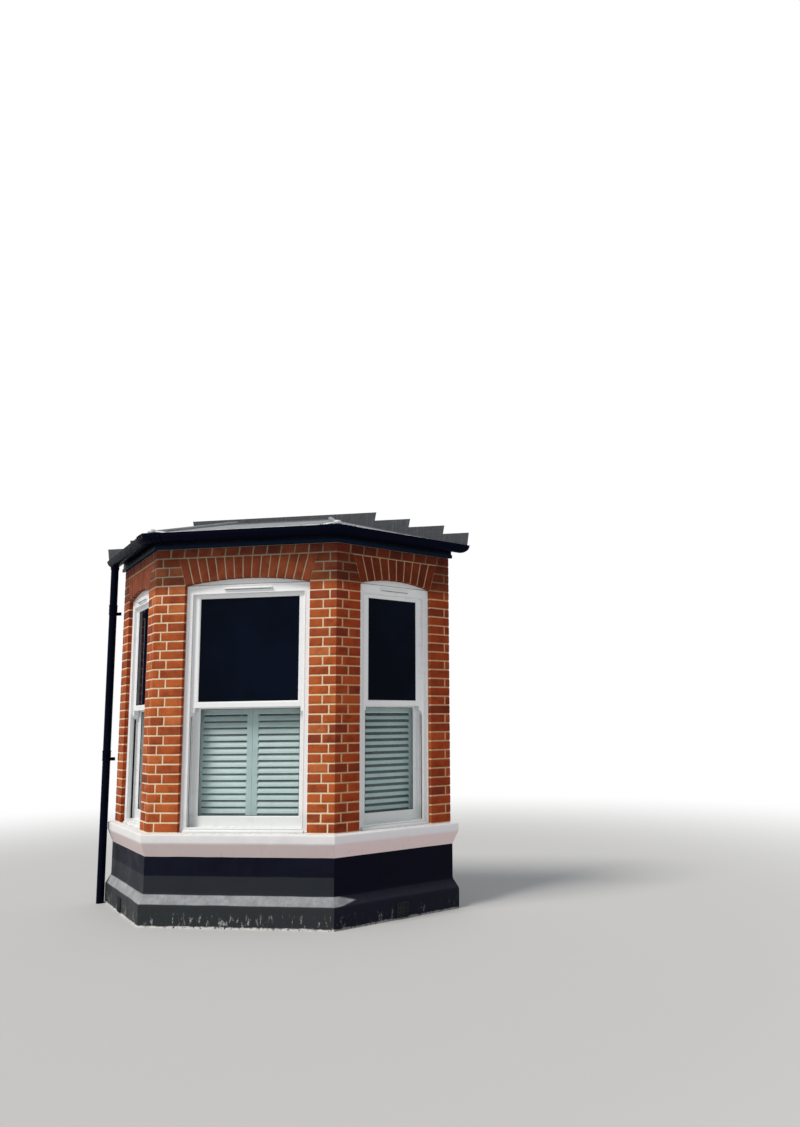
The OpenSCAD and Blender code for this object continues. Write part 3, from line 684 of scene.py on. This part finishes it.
def ring(path, profile, closed=True):
    """Carries a profile of (inset, depth) points round a path of [x, z] points in a face.
    The path runs anticlockwise, so the inset goes inwards."""
    count, n = len(path), len(profile)
    verts, caps = [], []
    for i in range(count):
        p = Vector(path[i])
        ways = []
        if i or closed:
            ways.append((p - Vector(path[i - 1])).normalized())
        if i < count - 1 or closed:
            ways.append((Vector(path[(i + 1) % count]) - p).normalized())
        normals = [Vector((-w.y, w.x)) for w in ways]
        mean = sum(normals, Vector((0, 0))).normalized()
        stretch = 1 / max(0.3, mean.dot(normals[0]))
        verts += [(p.x + mean.x * d * stretch, y, p.y + mean.y * d * stretch) for d, y in profile]
    if not closed:
        caps = [tuple(range(n)), tuple(range((count - 1) * n, count * n))[::-1]]
    return joined(verts, grid(count, n, closed) + caps)


def front_at(x):
    """Offsets outwards from a point of the front face, held between the mitres."""
    return lambda e: (max(-corner_x(e), min(corner_x(e), x)), -DEPTH - e)


def cant_at(side, u):
    """Offsets outwards from a point of a canted face, held between mitre and wall plane."""
    def point(e):
        v = min(max(u, -e * MITRE), (DEPTH + e * COS) / SIN)
        return side * (HALF + v * COS + e * SIN), -DEPTH + v * SIN - e * COS
    return point


def wall_at(side):
    return lambda e: (side * (HALF_WALL + e / SIN), 0.0)


def corner_at(side, radius=0.0, steps=0):
    """Stations round a corner with a small fillet, in the order of travel to the right."""
    out = []
    for turn in spread(0.0, ANGLE, steps) if steps else [0.0]:
        dx = -radius * MITRE + radius * sin(turn)
        dy = radius - radius * cos(turn)
        out.append(lambda e, dx=dx, dy=dy: (side * (corner_x(e) + dx), -DEPTH - e + dy))
    return out if side > 0 else out[::-1]


def whole_run(pitch, radius=0.0, steps=0):
    """Stations round the whole bay, from wall to wall."""
    near = 0.05
    cant = spread(near, CANT - 2 * near, round(CANT / pitch))
    half = HALF - near
    front = spread(-half, 2 * half, round(2 * HALF / pitch))
    path = [wall_at(-1)] + [cant_at(-1, u) for u in cant[::-1]] + corner_at(-1, radius, steps)
    path += [front_at(x) for x in front] + corner_at(1, radius, steps)
    return path + [cant_at(1, u) for u in cant] + [wall_at(1)]


def dress(material, bevel, segments, *names):
    """Gives shown CAD nodes a material and rounds their edges."""
    for name in names:
        node = NODES[name]
        node.data.materials.clear()
        node.data.materials.append(material)
        if bevel:
            edge = node.modifiers.new("edges", "BEVEL")
            edge.width = bevel
            edge.segments = segments
            edge.limit_method = "ANGLE"
            edge.angle_limit = radians(35)
        node.data.shade_smooth()
        node.data.set_sharp_from_angle(angle=radians(30))


# Brickwork


def skewed(x, sign, z):
    """The edge of a pier beside an arch, which leans away above the springing."""
    return x - sign * SKEW * max(0.0, z - SPRING) / (ARCH_TOP - SPRING)


def lay(pile, base, rise, place=None, lean=0.0, skewed_from=None):
    """One brick: a prism cut up along and across its face, worn, and given a tone."""
    bm = prism(base, rise, 0.0028)
    slice_up(bm, X_AXIS, 0.045)
    slice_up(bm, Z_AXIS, 0.024)
    low = min(v.co.z for v in bm.verts)
    for v in bm.verts:
        v.co.x += lean * (v.co.z - low)
        if skewed_from is not None:
            share = max(0.0, 1 - (v.co.x - skewed_from) / CUT_BRICK)
            v.co.x += share * (skewed(skewed_from, -1, v.co.z) - skewed_from)
            v.co.x = min(v.co.x, wall_end(v.co.y))
    wear(bm, 0.0008)
    pile.add(bm, min(1, max(0, rng.gauss(0.6, 0.19))), place)


def course_heights(k):
    low = SILL + k * COURSE + JOINT / 2
    return low, low + COURSE - JOINT


def plain_brick(pile, face, x0, x1, k, lean0=0, lean1=0):
    """A brick in course k from x0 to x1; lean0 or lean1 cut that end to the skewback."""
    z0, z1 = course_heights(k)
    y = -PROUD + rng.uniform(-0.0012, 0.0012)
    ends = (skewed(x0, lean0, z0), skewed(x1, lean1, z0), skewed(x1, lean1, z1), skewed(x0, lean0, z1))
    if abs(ends[1] - ends[0]) < 0.012:
        return
    base = [(x, y, z) for x, z in zip(ends, (z0, z0, z1, z1))]
    lay(pile, base, (0, BRICK_DEEP + PROUD, 0), FACE[face])


def squint_brick(pile, side, wing_front, wing_cant, k):
    """A corner brick with one wing on the front face and one on the canted face."""
    z0, z1 = course_heights(k)
    p, d = PROUD, BRICK_DEEP - 0.01
    front, cant = front_at(HALF - wing_front), cant_at(1, wing_cant)
    base = [front(p), (corner_x(p), -DEPTH - p), cant(p), cant(-d), (corner_x(-d), -DEPTH + d), front(-d)]
    lay(pile, [(x, y, z0) for x, y in base], (0, 0, z1 - z0), Matrix.Scale(side, 4, X_AXIS))


def corner_pier(word):
    """Squint bricks turn the corner, long and short wings in turn, with bats beside them."""
    pile, side = Pile(), SIDES[word]
    edge = (HALF - PIER[word] - JAMB_PROUD) * side
    leans = {"lean0": -1} if side > 0 else {"lean1": 1}
    for k in range(JAMB_COURSES + ARCH_COURSES):
        wing_front, wing_cant = (LONG_WING, SHORT_WING) if k % 2 else (SHORT_WING, LONG_WING)
        squint_brick(pile, side, wing_front, wing_cant, k)
        plain_brick(pile, "front", *sorted((edge, side * (HALF - wing_front - JOINT))), k, **leans)
        plain_brick(pile, word, wing_cant + JOINT, CANT_OPEN[0] + JAMB_PROUD, k, lean1=1)
    return pile


def wall_pier(face):
    """The pier that meets the house wall: its bricks are cut on the wall plane."""
    pile = Pile(face)
    x0 = CANT_OPEN[1] - JAMB_PROUD
    end, y0, y1 = x0 + CUT_BRICK, -PROUD, BRICK_DEEP
    front_cut, back_cut = (wall_end(y0), y0), (wall_end(y1), y1)
    whole = [(x0, y0), front_cut, back_cut, (x0, y1)]
    cut = [(x0, y0), (end, y0), (end, wall_depth(end)), back_cut, (x0, y1)]
    tip = [(end + JOINT, y0), front_cut, (end + JOINT, wall_depth(end + JOINT))]
    deep = BRICK_DEEP + JOINT
    inner = [(x0 + 0.001, deep), (wall_end(deep), deep), (x0 + 0.001, wall_depth(x0) - 0.001)]
    for k in range(JAMB_COURSES + ARCH_COURSES):
        z0, z1 = course_heights(k)
        for plan in (cut, tip, inner) if k % 2 else (whole, inner):
            base = [(x, y, z0) for x, y in plan]
            lay(pile, base, (0, 0, z1 - z0), skewed_from=x0)
    return pile


def arch_z(opening, x):
    """Height of the cambered soffit over x."""
    half = (opening[1] - opening[0]) / 2
    r = (half * half + RISE * RISE) / (2 * RISE)
    off = min(abs(x - (opening[0] + opening[1]) / 2), half)
    return SPRING + RISE - r + sqrt(r * r - off * off)


def arch(face, count):
    """Voussoirs fanned between the skewbacks, with their feet on the cambered soffit."""
    pile, opening = Pile(face), OPEN[face]
    half_gap = 0.0085 / 2
    top = ARCH_TOP - JOINT / 2
    foot_w = (opening[1] - opening[0]) / count
    head_w = (opening[1] - opening[0] + 2 * SKEW) / count
    for i in range(count):
        ends = ((i, half_gap), (i + 1, -half_gap))
        foot = [opening[0] + foot_w * at + inwards for at, inwards in ends]
        head = [opening[0] - SKEW + head_w * at + inwards for at, inwards in ends]
        base = [(x, -PROUD, arch_z(opening, x) - 0.0015) for x in foot]
        base += [(x, -PROUD, top) for x in head[::-1]]
        lay(pile, base, (0, BRICK_DEEP, 0))
    return pile


def header_course(face, count):
    """Bricks on edge over the arches; their joints lean a little."""
    pile = Pile(face)
    low, high = ARCH_TOP + JOINT / 2, WALL_TOP - 0.003
    start, end = (-HALF, HALF) if face == "front" else (0.0, CANT)
    width = (end - start) / count
    y0, y1 = -PROUD, BRICK_DEEP
    for i in range(count):
        a, b = start + width * i, start + width * (i + 1)
        a += 0 if i == 0 else JOINT / 2
        b -= 0 if i == count - 1 else JOINT / 2
        lean = rng.uniform(0.06, 0.17) if 0 < i < count - 1 else 0.0
        left, right = [a, a], [b, b]
        if i == 0:
            left = [a - MITRE * PROUD, a + MITRE * y1]
        if i == count - 1:
            right = [b + MITRE * PROUD, b - MITRE * y1]
            if face != "front":
                right = [wall_end(y0), wall_end(y1)]
        base = [(left[0], y0, low), (right[0], y0, low), (right[1], y1, low), (left[1], y1, low)]
        lay(pile, base, (0, 0, high - low), lean=lean)
    return pile


for word in SIDES:
    corner_pier(word).make("bricks_" + word + "_corner", BRICK, "red_brick")
    wall_pier(word).make("bricks_" + word + "_wall", BRICK, "red_brick")
for face, voussoirs, headers in (("left", 10, 9), ("front", 15, 13), ("right", 10, 9)):
    arch(face, voussoirs).make("voussoirs_" + face, RUBBED, "arch_brick")
    header_course(face, headers).make("headers_" + face, HEADER_SHADE_BRICK, "header_brick")


# Plinth and sill


def swell(bm, amount, scale, seed):
    """Trowelled unevenness: moves points along their normals, but not off the wall plane."""
    bm.normal_update()
    for v in bm.verts:
        if v.co.y < -0.002 and v.co.z > 0.003:
            v.co += v.normal * noise.noise(v.co * scale + Vector((seed, 0, 0))) * amount


def rounded(radius, *points, steps=4):
    """An open profile with rounded inner corners; points are (offset, height, share of the radius)."""
    out = []
    for i, (x, z, share) in enumerate(points):
        if not share or i in (0, len(points) - 1):
            out.append((x, z))
            continue
        here = Vector((x, z))
        a = Vector(points[i - 1][:2]) - here
        b = Vector(points[i + 1][:2]) - here
        r = min(radius * share, a.length * 0.45, b.length * 0.45)
        p, q = here + a.normalized() * r, here + b.normalized() * r
        for t in spread(0, 1, steps):
            out.append(tuple(p * (1 - t) ** 2 + here * 2 * t * (1 - t) + q * t * t))
    return out


def filled(points, pitch):
    """Adds points to the long edges of an open profile."""
    out = [points[0]]
    for a, b in zip(points, points[1:]):
        count = max(1, round(dist(a, b) / pitch))
        out += list(zip(spread(a[0], b[0] - a[0], count), spread(a[1], b[1] - a[1], count)))[1:]
    return out


def closed_run(name, outline, back, material, slot, radius, swelling):
    """A rounded moulding round the bay that stands for the three CAD runs."""
    bm = sweep(whole_run(0.06, radius, 5), filled(outline, 0.03) + back)
    swell(bm, *swelling)
    pile = Pile()
    pile.add(bm)
    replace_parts(pile.make(name, material, slot, sharp=50), *[name + "_" + face for face in OPEN])


plinth_line = rounded(
    0.014, (FOOT_OUT - 0.001, 0.0, 0), (FOOT_OUT, SPLAY[0], 1.0), (RENDER, SPLAY[1], 1.0),
    (RENDER, PLINTH_TOP, 0),
)
plinth_back = [(0.0, PLINTH_TOP), (-0.02, BED), (-0.1, BED), (-0.1, SILL), (-WALL, SILL), (-WALL, 0.0)]
closed_run("plinth", plinth_line, plinth_back, BLACK_RENDER, "render_black", 0.01, (0.0028, 7.0, 3))
sill_line = rounded(
    0.016, (-0.03, SILL, 0), (0.0, SILL, 0), (SILL_OUT, SILL_NOSE, 0.5), (SILL_OUT, SILL_DRIP, 0.3),
    (RENDER, PLINTH_TOP, 0), (0.0, PLINTH_TOP, 0),
)
sill_back = [(-0.03, PLINTH_TOP + 0.02)]
closed_run("sill", sill_line, sill_back, SILL_PAINT, "sill_paint", 0.006, (0.0016, 9.0, 8))


def air_bricks():
    """Cast gratings with square holes, five across and six up."""
    pile = Pile()
    width, height, bar = 0.1, 0.115, 0.0072
    x0, z0, y = 0.572 - width / 2, 0.07 - height / 2, -FOOT_OUT
    wide, tall = (x0, x0 + width), (z0, z0 + height)
    for word in SIDES:
        pile.place = FACE[word]
        pile.box(wide, (y - 0.002, y + 0.02), tall, 0.001)
        for x in spread(x0, width - bar, 5):
            pile.box((x, x + bar), (y - 0.008, y), tall, 0.0012)
        for z in spread(z0, height - bar, 6):
            pile.box(wide, (y - 0.0078, y), (z, z + bar), 0.0012)
    return pile


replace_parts(air_bricks().make("air_bricks", VENT, "render_black"), "air_vents")


# Windows


def drawn_in(face, inset):
    """The two sides of an opening, drawn in by inset."""
    return OPEN[face][0] + inset, OPEN[face][1] - inset


def frame_path(face):
    """Outline of a window frame in its opening, anticlockwise, with the cambered head."""
    x0, x1 = drawn_in(face, GAP)
    head = [(x, arch_z(OPEN[face], x) - GAP) for x in spread(x1, x0 - x1, 16)]
    return [(x0, SILL), (x1, SILL)] + head


# Profiles of (inset, depth) points
BEAD = [(0.0, 0.0), (0.0, -0.0035), (0.002, -0.005), (0.009, -0.005), (0.012, -0.003), (0.014, 0.0005)]
OVOLO = [(-0.001, 0.0015), (0.003, 0.0015), (0.006, 0.003), (0.009, 0.006), (0.011, 0.01), (-0.001, 0.011)]
SEAL = [(0.008, 0.0085), (0.0135, 0.0085), (0.0135, 0.0112), (0.008, 0.0112)]
BAR = [(-0.002, 0.0155), (0.0105, 0.0155), (0.0105, 0.0265), (-0.002, 0.0265)]
STEP = [(-0.01, 0.0), (-0.01, -0.003), (-0.004, -0.003), (0.0, 0.0005), (0.0, 0.004), (-0.01, 0.004)]
SEALANT = [
    (-0.004, 0.002), (-0.002, -0.001), (0.002, -0.0012), (0.004, 0.002), (0.003, 0.006), (-0.003, 0.006),
]


def shifted(profile, y):
    return [(d, depth + y) for d, depth in profile]


def rectangle(x0, x1, z0, z1):
    return [(x0, z0), (x1, z0), (x1, z1), (x0, z1)]


def glazing(face):
    """Sealed units: two panes on a spacer bar, a gasket and an ovolo bead round each."""
    beads, seals, bars = Pile(face), Pile(face), Pile(face)
    x0, x1 = drawn_in(face, GAP + SIDE + STILE)
    edge = 0.006
    for which, z0, z1, y, glass in (
        ("upper", MEET + MEET_H / 2, HEAD - TOP_RAIL, OUTER_Y, SHADED_ROOM_GLASS),
        ("lower", FOOT + BOTTOM_RAIL, MEET - MEET_H / 2, INNER_Y, CLEAR_GLASS),
    ):
        for pile, profile in ((beads, OVOLO), (seals, SEAL), (bars, BAR)):
            pile.add(ring(rectangle(x0, x1, z0, z1), shifted(profile, y)))
        panes = Pile(face)
        for deep in (y + 0.011, y + 0.027):
            panes.box((x0 - edge, x1 + edge), (deep, deep + 0.004), (z0 - edge, z1 + edge), 0.0005, 1)
        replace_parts(panes.make("glass_%s_%s" % (face, which), glass, "window_glass"), "glass_" + face)
    beads.make("glazing_beads_" + face, PLASTIC, "white_pvc", sharp=50)
    seals.make("gaskets_" + face, GASKET, "black_pvc")
    bars.make("spacer_bars_" + face, SPACER, "white_pvc")


def vent_span(face, past):
    """The two ends of the trickle vent over a window, made longer by past."""
    x0, x1 = drawn_in(face, GAP + SIDE)
    mid, half = (x0 + x1) / 2, VENT_W[face] / 2
    return mid - half - past, mid + half + past


def frame_trim(face):
    """The bead round the frame, steps beside the sashes, the vent's cap and the lower rail's nose."""
    pile = Pile(face)
    pile.add(ring(rectangle(*drawn_in(face, GAP), SILL, SPRING), shifted(BEAD, FRAME_Y[0])))
    x0, x1 = drawn_in(face, GAP + SIDE)
    pile.add(ring(rectangle(x0, x1, FOOT, HEAD), shifted(STEP, FRAME_Y[0])))
    pile.box(vent_span(face, 0.004), (0.018, 0.036), (VENT_Z + 0.01, VENT_Z + 0.0205), 0.003, 3)
    nose = ((0.014, 0.001), (0.036, 0.001), (0.036, 0.024), (0.014, 0.014))
    pile.add(prism([(x0 - 0.02, y, SILL + z) for y, z in nose], (x1 - x0 + 0.04, 0, 0)))
    return pile


def shade_slots(face):
    """Black strips of painted shade: the slot under the vent's cap, the line at the springing, and the
    tracks below the upper sash.
    """
    pile = Pile(face)
    y = FRAME_Y[0]
    pile.box(vent_span(face, -0.004), (0.0215, 0.024), (VENT_Z + 0.003, VENT_Z + 0.007), 0.0005, 1)
    over = (SPRING + 0.0002, SPRING + 0.0028)
    pile.box(drawn_in(face, GAP + 0.002), (y - 0.0016, y + 0.002), over, 0.0004, 1)
    x0, x1 = drawn_in(face, GAP + SIDE)
    for x in (x0 - 0.0145, x1 + 0.0105):
        pile.box((x, x + 0.004), (0.07, 0.084), (FOOT + 0.002, MEET - 0.09), 0.0008, 1)
    return pile


def sealant(face):
    """A bead of sealant between the frame and the brick jambs and arch."""
    pile, path = Pile(face), frame_path(face)
    pile.add(ring(path[1:] + path[:1], shifted(SEALANT, FRAME_Y[0]), closed=False))
    return pile


def plastered_jambs(face):
    """A thin coat of plaster on the jambs, from the frame to the room."""
    pile = Pile(face)
    deep = (FRAME_Y[1] + 0.0005, ROOM_FACE - 0.0005)
    for edge, way in ((OPEN[face][0], 1), (OPEN[face][1], -1)):
        coat = sorted((edge - 0.002 * way, edge + 0.0014 * way))
        pile.box(coat, deep, (SILL + 0.0255, SPRING - 0.001), 0.0004, 1)
    return pile


for face in OPEN:
    dress(PLASTIC, 0.0022, 3, "frame_" + face, "upper_sash_" + face, "lower_sash_" + face)
    dress(SHUTTER[face], 0.0012, 2, "shutters_" + face)
    glazing(face)
    frame_trim(face).make("frame_trim_" + face, PLASTIC, "white_pvc", sharp=40)
    shade_slots(face).make("shade_slots_" + face, GASKET, "black_pvc")
    sealant(face).make("sealant_" + face, PLASTIC, "white_pvc")
    plastered_jambs(face).make("plastered_jambs_" + face, PLASTER, "plaster")


# Eaves, gutter and downpipe


def half_round(radius):
    """The lower half of a circle in the gutter's place, from its front to its back."""
    turn = spread(0, pi, 14)
    return [(GUTTER_E + radius * cos(a), GUTTER_Z - radius * sin(a)) for a in turn]


def channel(radius, wall, rim):
    """A half round channel as a closed (offset, height) profile, with a rolled front rim."""
    inner = radius - wall
    lift = [(GUTTER_E - radius, GUTTER_Z + rim), (GUTTER_E - inner, GUTTER_Z + rim)]
    centre = GUTTER_E + inner + rim * 0.55
    bead = [
        (centre + rim * cos(a), GUTTER_Z + rim * 0.7 + rim * sin(a))
        for a in (pi * (0.95 - 1.05 * i / 6) for i in range(7))
    ]
    return half_round(radius) + lift + half_round(inner)[::-1] + bead


gutter = Pile()
gutter.add(sweep(whole_run(0.3), channel(GUTTER_R, 0.0032, 0.0045)))
for side in SIDES.values():
    end = [(*wall_at(side)(e), z) for e, z in half_round(GUTTER_R - 0.0005)]
    gutter.add(prism(end, (0, -0.003, 0), 0.0006))
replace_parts(gutter.make("gutter", GUTTER, "black_pvc"), "gutter")

# Unions wrap the corners, with three ribs on each side
unions = Pile()
for side in SIDES.values():
    stations = [front_at(side * (HALF - 0.09)), corner_at(side)[0], cant_at(side, 0.09)]
    unions.add(sweep(stations[::side], channel(GUTTER_R + 0.0036, 0.0034, 0.005)))
    for at in (0.004, 0.045, 0.086):
        for station in (lambda u: front_at(side * (HALF - u)), lambda u: cant_at(side, u)):
            rib = [station(at - 0.004), station(at + 0.004)]
            unions.add(sweep(rib, channel(GUTTER_R + 0.0062, 0.0028, 0.0058)))
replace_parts(unions.make("gutter_unions", GUTTER, "black_pvc"), "gutter_unions")

# A thin sheath along the fascia's foot, blue as painted skylight
skylight_strip = Pile()
strip_foot, strip_top = FASCIA_Z - 0.004, FASCIA_Z + 0.029
skylight_strip.add(sweep(whole_run(0.3), [
    (0.0, strip_foot), (FASCIA_T + 0.006, strip_foot), (FASCIA_T + 0.006, FASCIA_Z + 0.024),
    (FASCIA_T - 0.001, strip_top), (0.0, strip_top),
]))
skylight_strip.make("fascia_painted_skylight", SKYLIT_FASCIA, "fascia_paint", sharp=30)


def collar(z0, z1, inner, outer, steps=36):
    """A short tube round the downpipe as a closed solid, with rounded rims."""
    verts = []
    for a in spread(0, 2 * pi, steps)[:-1]:
        for r, z in ((outer, z0), (outer, z1), (inner, z1), (inner, z0)):
            verts.append((PIPE_X + r * cos(a), PIPE_Y + r * sin(a), z))
    bm = joined(verts, grid(steps, 4))
    rims = []
    for edge in bm.edges:
        a, b = [face.normal for face in edge.link_faces]
        if abs(edge.verts[0].co.z - edge.verts[1].co.z) < 1e-6 and abs(a.dot(b)) < 0.3:
            rims.append(edge)
    bmesh.ops.bevel(bm, geom=rims, offset=0.0012, segments=2, profile=0.5, affect="EDGES")
    return bm


# Collars where the lengths of the downpipe join, and one under the gutter
collars = Pile()
for z in (1.23 + 0.034, PIPE_TOP - 0.45 + 0.034):
    collars.add(collar(z, z + 0.055, PIPE_R - 0.0004, PIPE_R + 0.0032))
    collars.add(collar(z + 0.046, z + 0.056, PIPE_R - 0.0002, PIPE_R + 0.0052))
collars.add(collar(PIPE_TOP - 0.03, PIPE_TOP + 0.004, PIPE_R - 0.0002, PIPE_R + 0.004))
collars.make("pipe_collars", GUTTER, "black_pvc")


# Roof


def lead_z(e):
    return EAVES + LEAD_TOP + (FASCIA_T - e) * tan(PITCH)


# The lead drip that is dressed over the eaves, with its crumpled edge, pale with a painted glint
on_lead = (0.004, 0.02, 0.036, 0.052)
edge_z = lead_z(LEAD_EDGE)
drip_line = [(e, lead_z(e) + 0.0026) for e in on_lead]
drip_line += [(0.0625, edge_z - 0.001), (0.0645, edge_z - 0.01), (0.064, edge_z - 0.021)]
drip_line += [(0.0618, edge_z - 0.021), (0.0612, edge_z - 0.004)]
drip_line += [(e, lead_z(e) - 0.0006) for e in on_lead[::-1]]
bm = sweep(whole_run(0.022, 0.004, 2), drip_line)
for v in bm.verts:
    # Near the wall it lies smooth and passes under the flashing's apron
    free = min(1, max(0, (-v.co.y - APRON) / 0.03))
    ruck = (noise.noise(v.co * 38) * 0.0046 + noise.noise(v.co * 11) * 0.0046) * free
    v.co.z += ruck * 0.7 - 0.004 * (1 - free)
    v.co += Vector((v.co.x, v.co.y, 0)).normalized() * ruck * 0.6
drip = Pile()
drip.add(bm)
drip.make("lead_drip", GLINT_LEAD, "roof_lead", sharp=60)


def bossed(segments, radii, at, turn, lumps):
    """A cap of lead worked by hand: a squashed ball, turned and dented."""
    bm = bmesh.new()
    bmesh.ops.create_uvsphere(bm, u_segments=segments, v_segments=14, radius=1.0)
    for v in bm.verts:
        v.co = Vector((v.co.x * radii[0], v.co.y * radii[1], v.co.z * radii[2]))
    bmesh.ops.transform(bm, matrix=Matrix.Translation(at) @ turn, verts=bm.verts[:])
    wear(bm, *lumps)
    return bm


# Caps over the feet of the hip rolls, and the lead worked flat beside them, pale with a painted glint
caps = Pile()
for side in SIDES.values():
    at = (side * corner_x(0.052), -DEPTH - 0.05, lead_z(0.052) + 0.006)
    turn = Matrix.Rotation(radians(22.5) * side, 4, "Z")
    caps.add(bossed(24, (0.034, 0.04, 0.028), at, turn, (0.004, 38.0)))
    at = (side * (corner_x(0.052) - 0.07), -DEPTH - 0.044, lead_z(0.046) + 0.002)
    turn = Matrix.Rotation(radians(-9.0) * side, 4, "Y")
    caps.add(bossed(36, (0.072, 0.022, 0.013), at, turn, (0.005, 34.0)))
caps.make("hip_caps", GLINT_LEAD, "roof_lead", sharp=80)


# Inside, and the finish of the CAD nodes that show


def floor_planks():
    """Boards laid along the front, cut to the room's plan, with fine gaps between them."""
    pile = Pile()
    thick, half_joint = 0.022, 0.0008
    y = -DEPTH + WALL + 0.0015
    while y < -0.004:
        y1 = min(y + 0.118, -0.0005)
        near, far = [corner_x(-WALL) + (at + DEPTH - WALL) / tan(ANGLE) for at in (y, y1)]
        joint = rng.uniform(-0.4, 0.4)
        left, right = joint - half_joint, joint + half_joint
        for a, b, c, d in ((-near, left, left, -far), (right, near, far, right)):
            base = [(x, at, FLOOR - thick) for x, at in ((a, y), (b, y), (c, y1), (d, y1))]
            pile.add(prism(base, (0, 0, thick), 0.0014), rng.random())
        y = y1 + 0.0018
    return pile


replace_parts(floor_planks().make("floorboards", FLOORING, "floor_timber"), "floorboards")

dress(MORTAR, 0, 0, "pier_left_wall", "pier_left_corner", "pier_right_corner", "pier_right_wall")
dress(ARCH_SHADED_MORTAR, 0, 0, "arch_left", "arch_front", "arch_right")
dress(HEADER_SHADE_MORTAR, 0, 0, "header_course_left", "header_course_front", "header_course_right")
dress(LEAD, 0.001, 1, "lead_left", "lead_front", "lead_right")
dress(LEAD, 0.002, 2, "hip_rolls")
dress(SHADED_FLASHING, 0.0012, 1, "flashing")
dress(FASCIA, 0.0025, 3, "fascia")
dress(GUTTER, 0, 0, "downpipe")
dress(GUTTER, 0.002, 2, "pipe_clips")
dress(DECK, 0, 0, "roof_boards")
dress(SAWN, 0.0015, 1, "rafters", "wall_plates", "floor_joists")
dress(BOARD, 0.004, 3, "window_boards")
dress(PLASTER, 0.002, 2, "plaster_lining")
dress(CEILING, 0, 0, "ceiling")
dress(CONCRETE, 0, 0, "oversite")


# Stage, light and camera


def stage_floor():
    """Pale grey round the object, which fades to the white of the background farther out."""
    n = Nodes("stage_grey")
    n.finish((0.5, 0.5, 0.5), 0.9, specular=0.1)
    length = n.add("VectorMath", {0: n.place}, operation="LENGTH").outputs["Value"]
    share = n.times(n.mask(length, 3.6, 11.0), n.seen_directly())
    n.blend(share, n.shader, n.add("Emission"), n.tree.nodes["Material Output"])
    size = 60.0
    mesh = bpy.data.meshes.new("stage_floor")
    corners = [(-size, -size, 0), (size, -size, 0), (size, size, 0), (-size, size, 0)]
    mesh.from_pydata(corners, [], [(0, 1, 2, 3)])
    mesh.materials.append(n.mat)
    return shown("stage_floor", mesh)


def sun():
    """Soft light from the left, in front and above."""
    data = bpy.data.lights.new("sun", "SUN")
    data.energy = 2.75
    data.angle = radians(18)
    data.color = (1.0, 0.965, 0.91)
    lamp = shown("sun", data)
    lamp.rotation_euler = Vector((0.5, 0.52, -0.9)).to_track_quat("-Z", "Y").to_euler()
    return lamp


def world():
    """Even grey light, with a white background for what the camera sees directly."""
    sky = bpy.data.worlds.new("studio")
    sky.use_nodes = True
    sky.node_tree.nodes.clear()
    tree = Tree(sky.node_tree)
    soft = tree.add("Background", {"Color": (0.93, 0.96, 1.0, 1), "Strength": 0.5})
    white = tree.add("Background", {"Color": (1, 1, 1, 1), "Strength": 1.0})
    tree.blend(tree.seen_directly(), soft, white, tree.add("OutputWorld"))
    bpy.context.scene.world = sky


def camera():
    """The photograph's viewpoint, turned by yaw, pitch and roll in radians."""
    data = bpy.data.cameras.new("camera")
    data.sensor_width = 36.0
    data.lens = 24.354
    data.shift_x, data.shift_y = -0.07098, 0.06315
    data.clip_start, data.clip_end = 0.05, 100.0
    yaw, pitch, roll = -0.13134, 0.12084, -0.01336
    forward = Vector((sin(yaw) * cos(pitch), cos(yaw) * cos(pitch), sin(pitch)))
    level = Vector((cos(yaw), -sin(yaw), 0))
    upright = level.cross(forward)
    right = level * cos(roll) + upright * sin(roll)
    up = upright * cos(roll) - level * sin(roll)
    shot = shown("camera", data)
    turn = Matrix((right, up, -forward)).transposed().to_4x4()
    shot.matrix_world = Matrix.Translation((2.63891, -6.451, 1.48326)) @ turn
    bpy.context.scene.camera = shot


world()
camera()
stage_floor()
sun()
bpy.context.scene.view_settings.view_transform = "Standard"
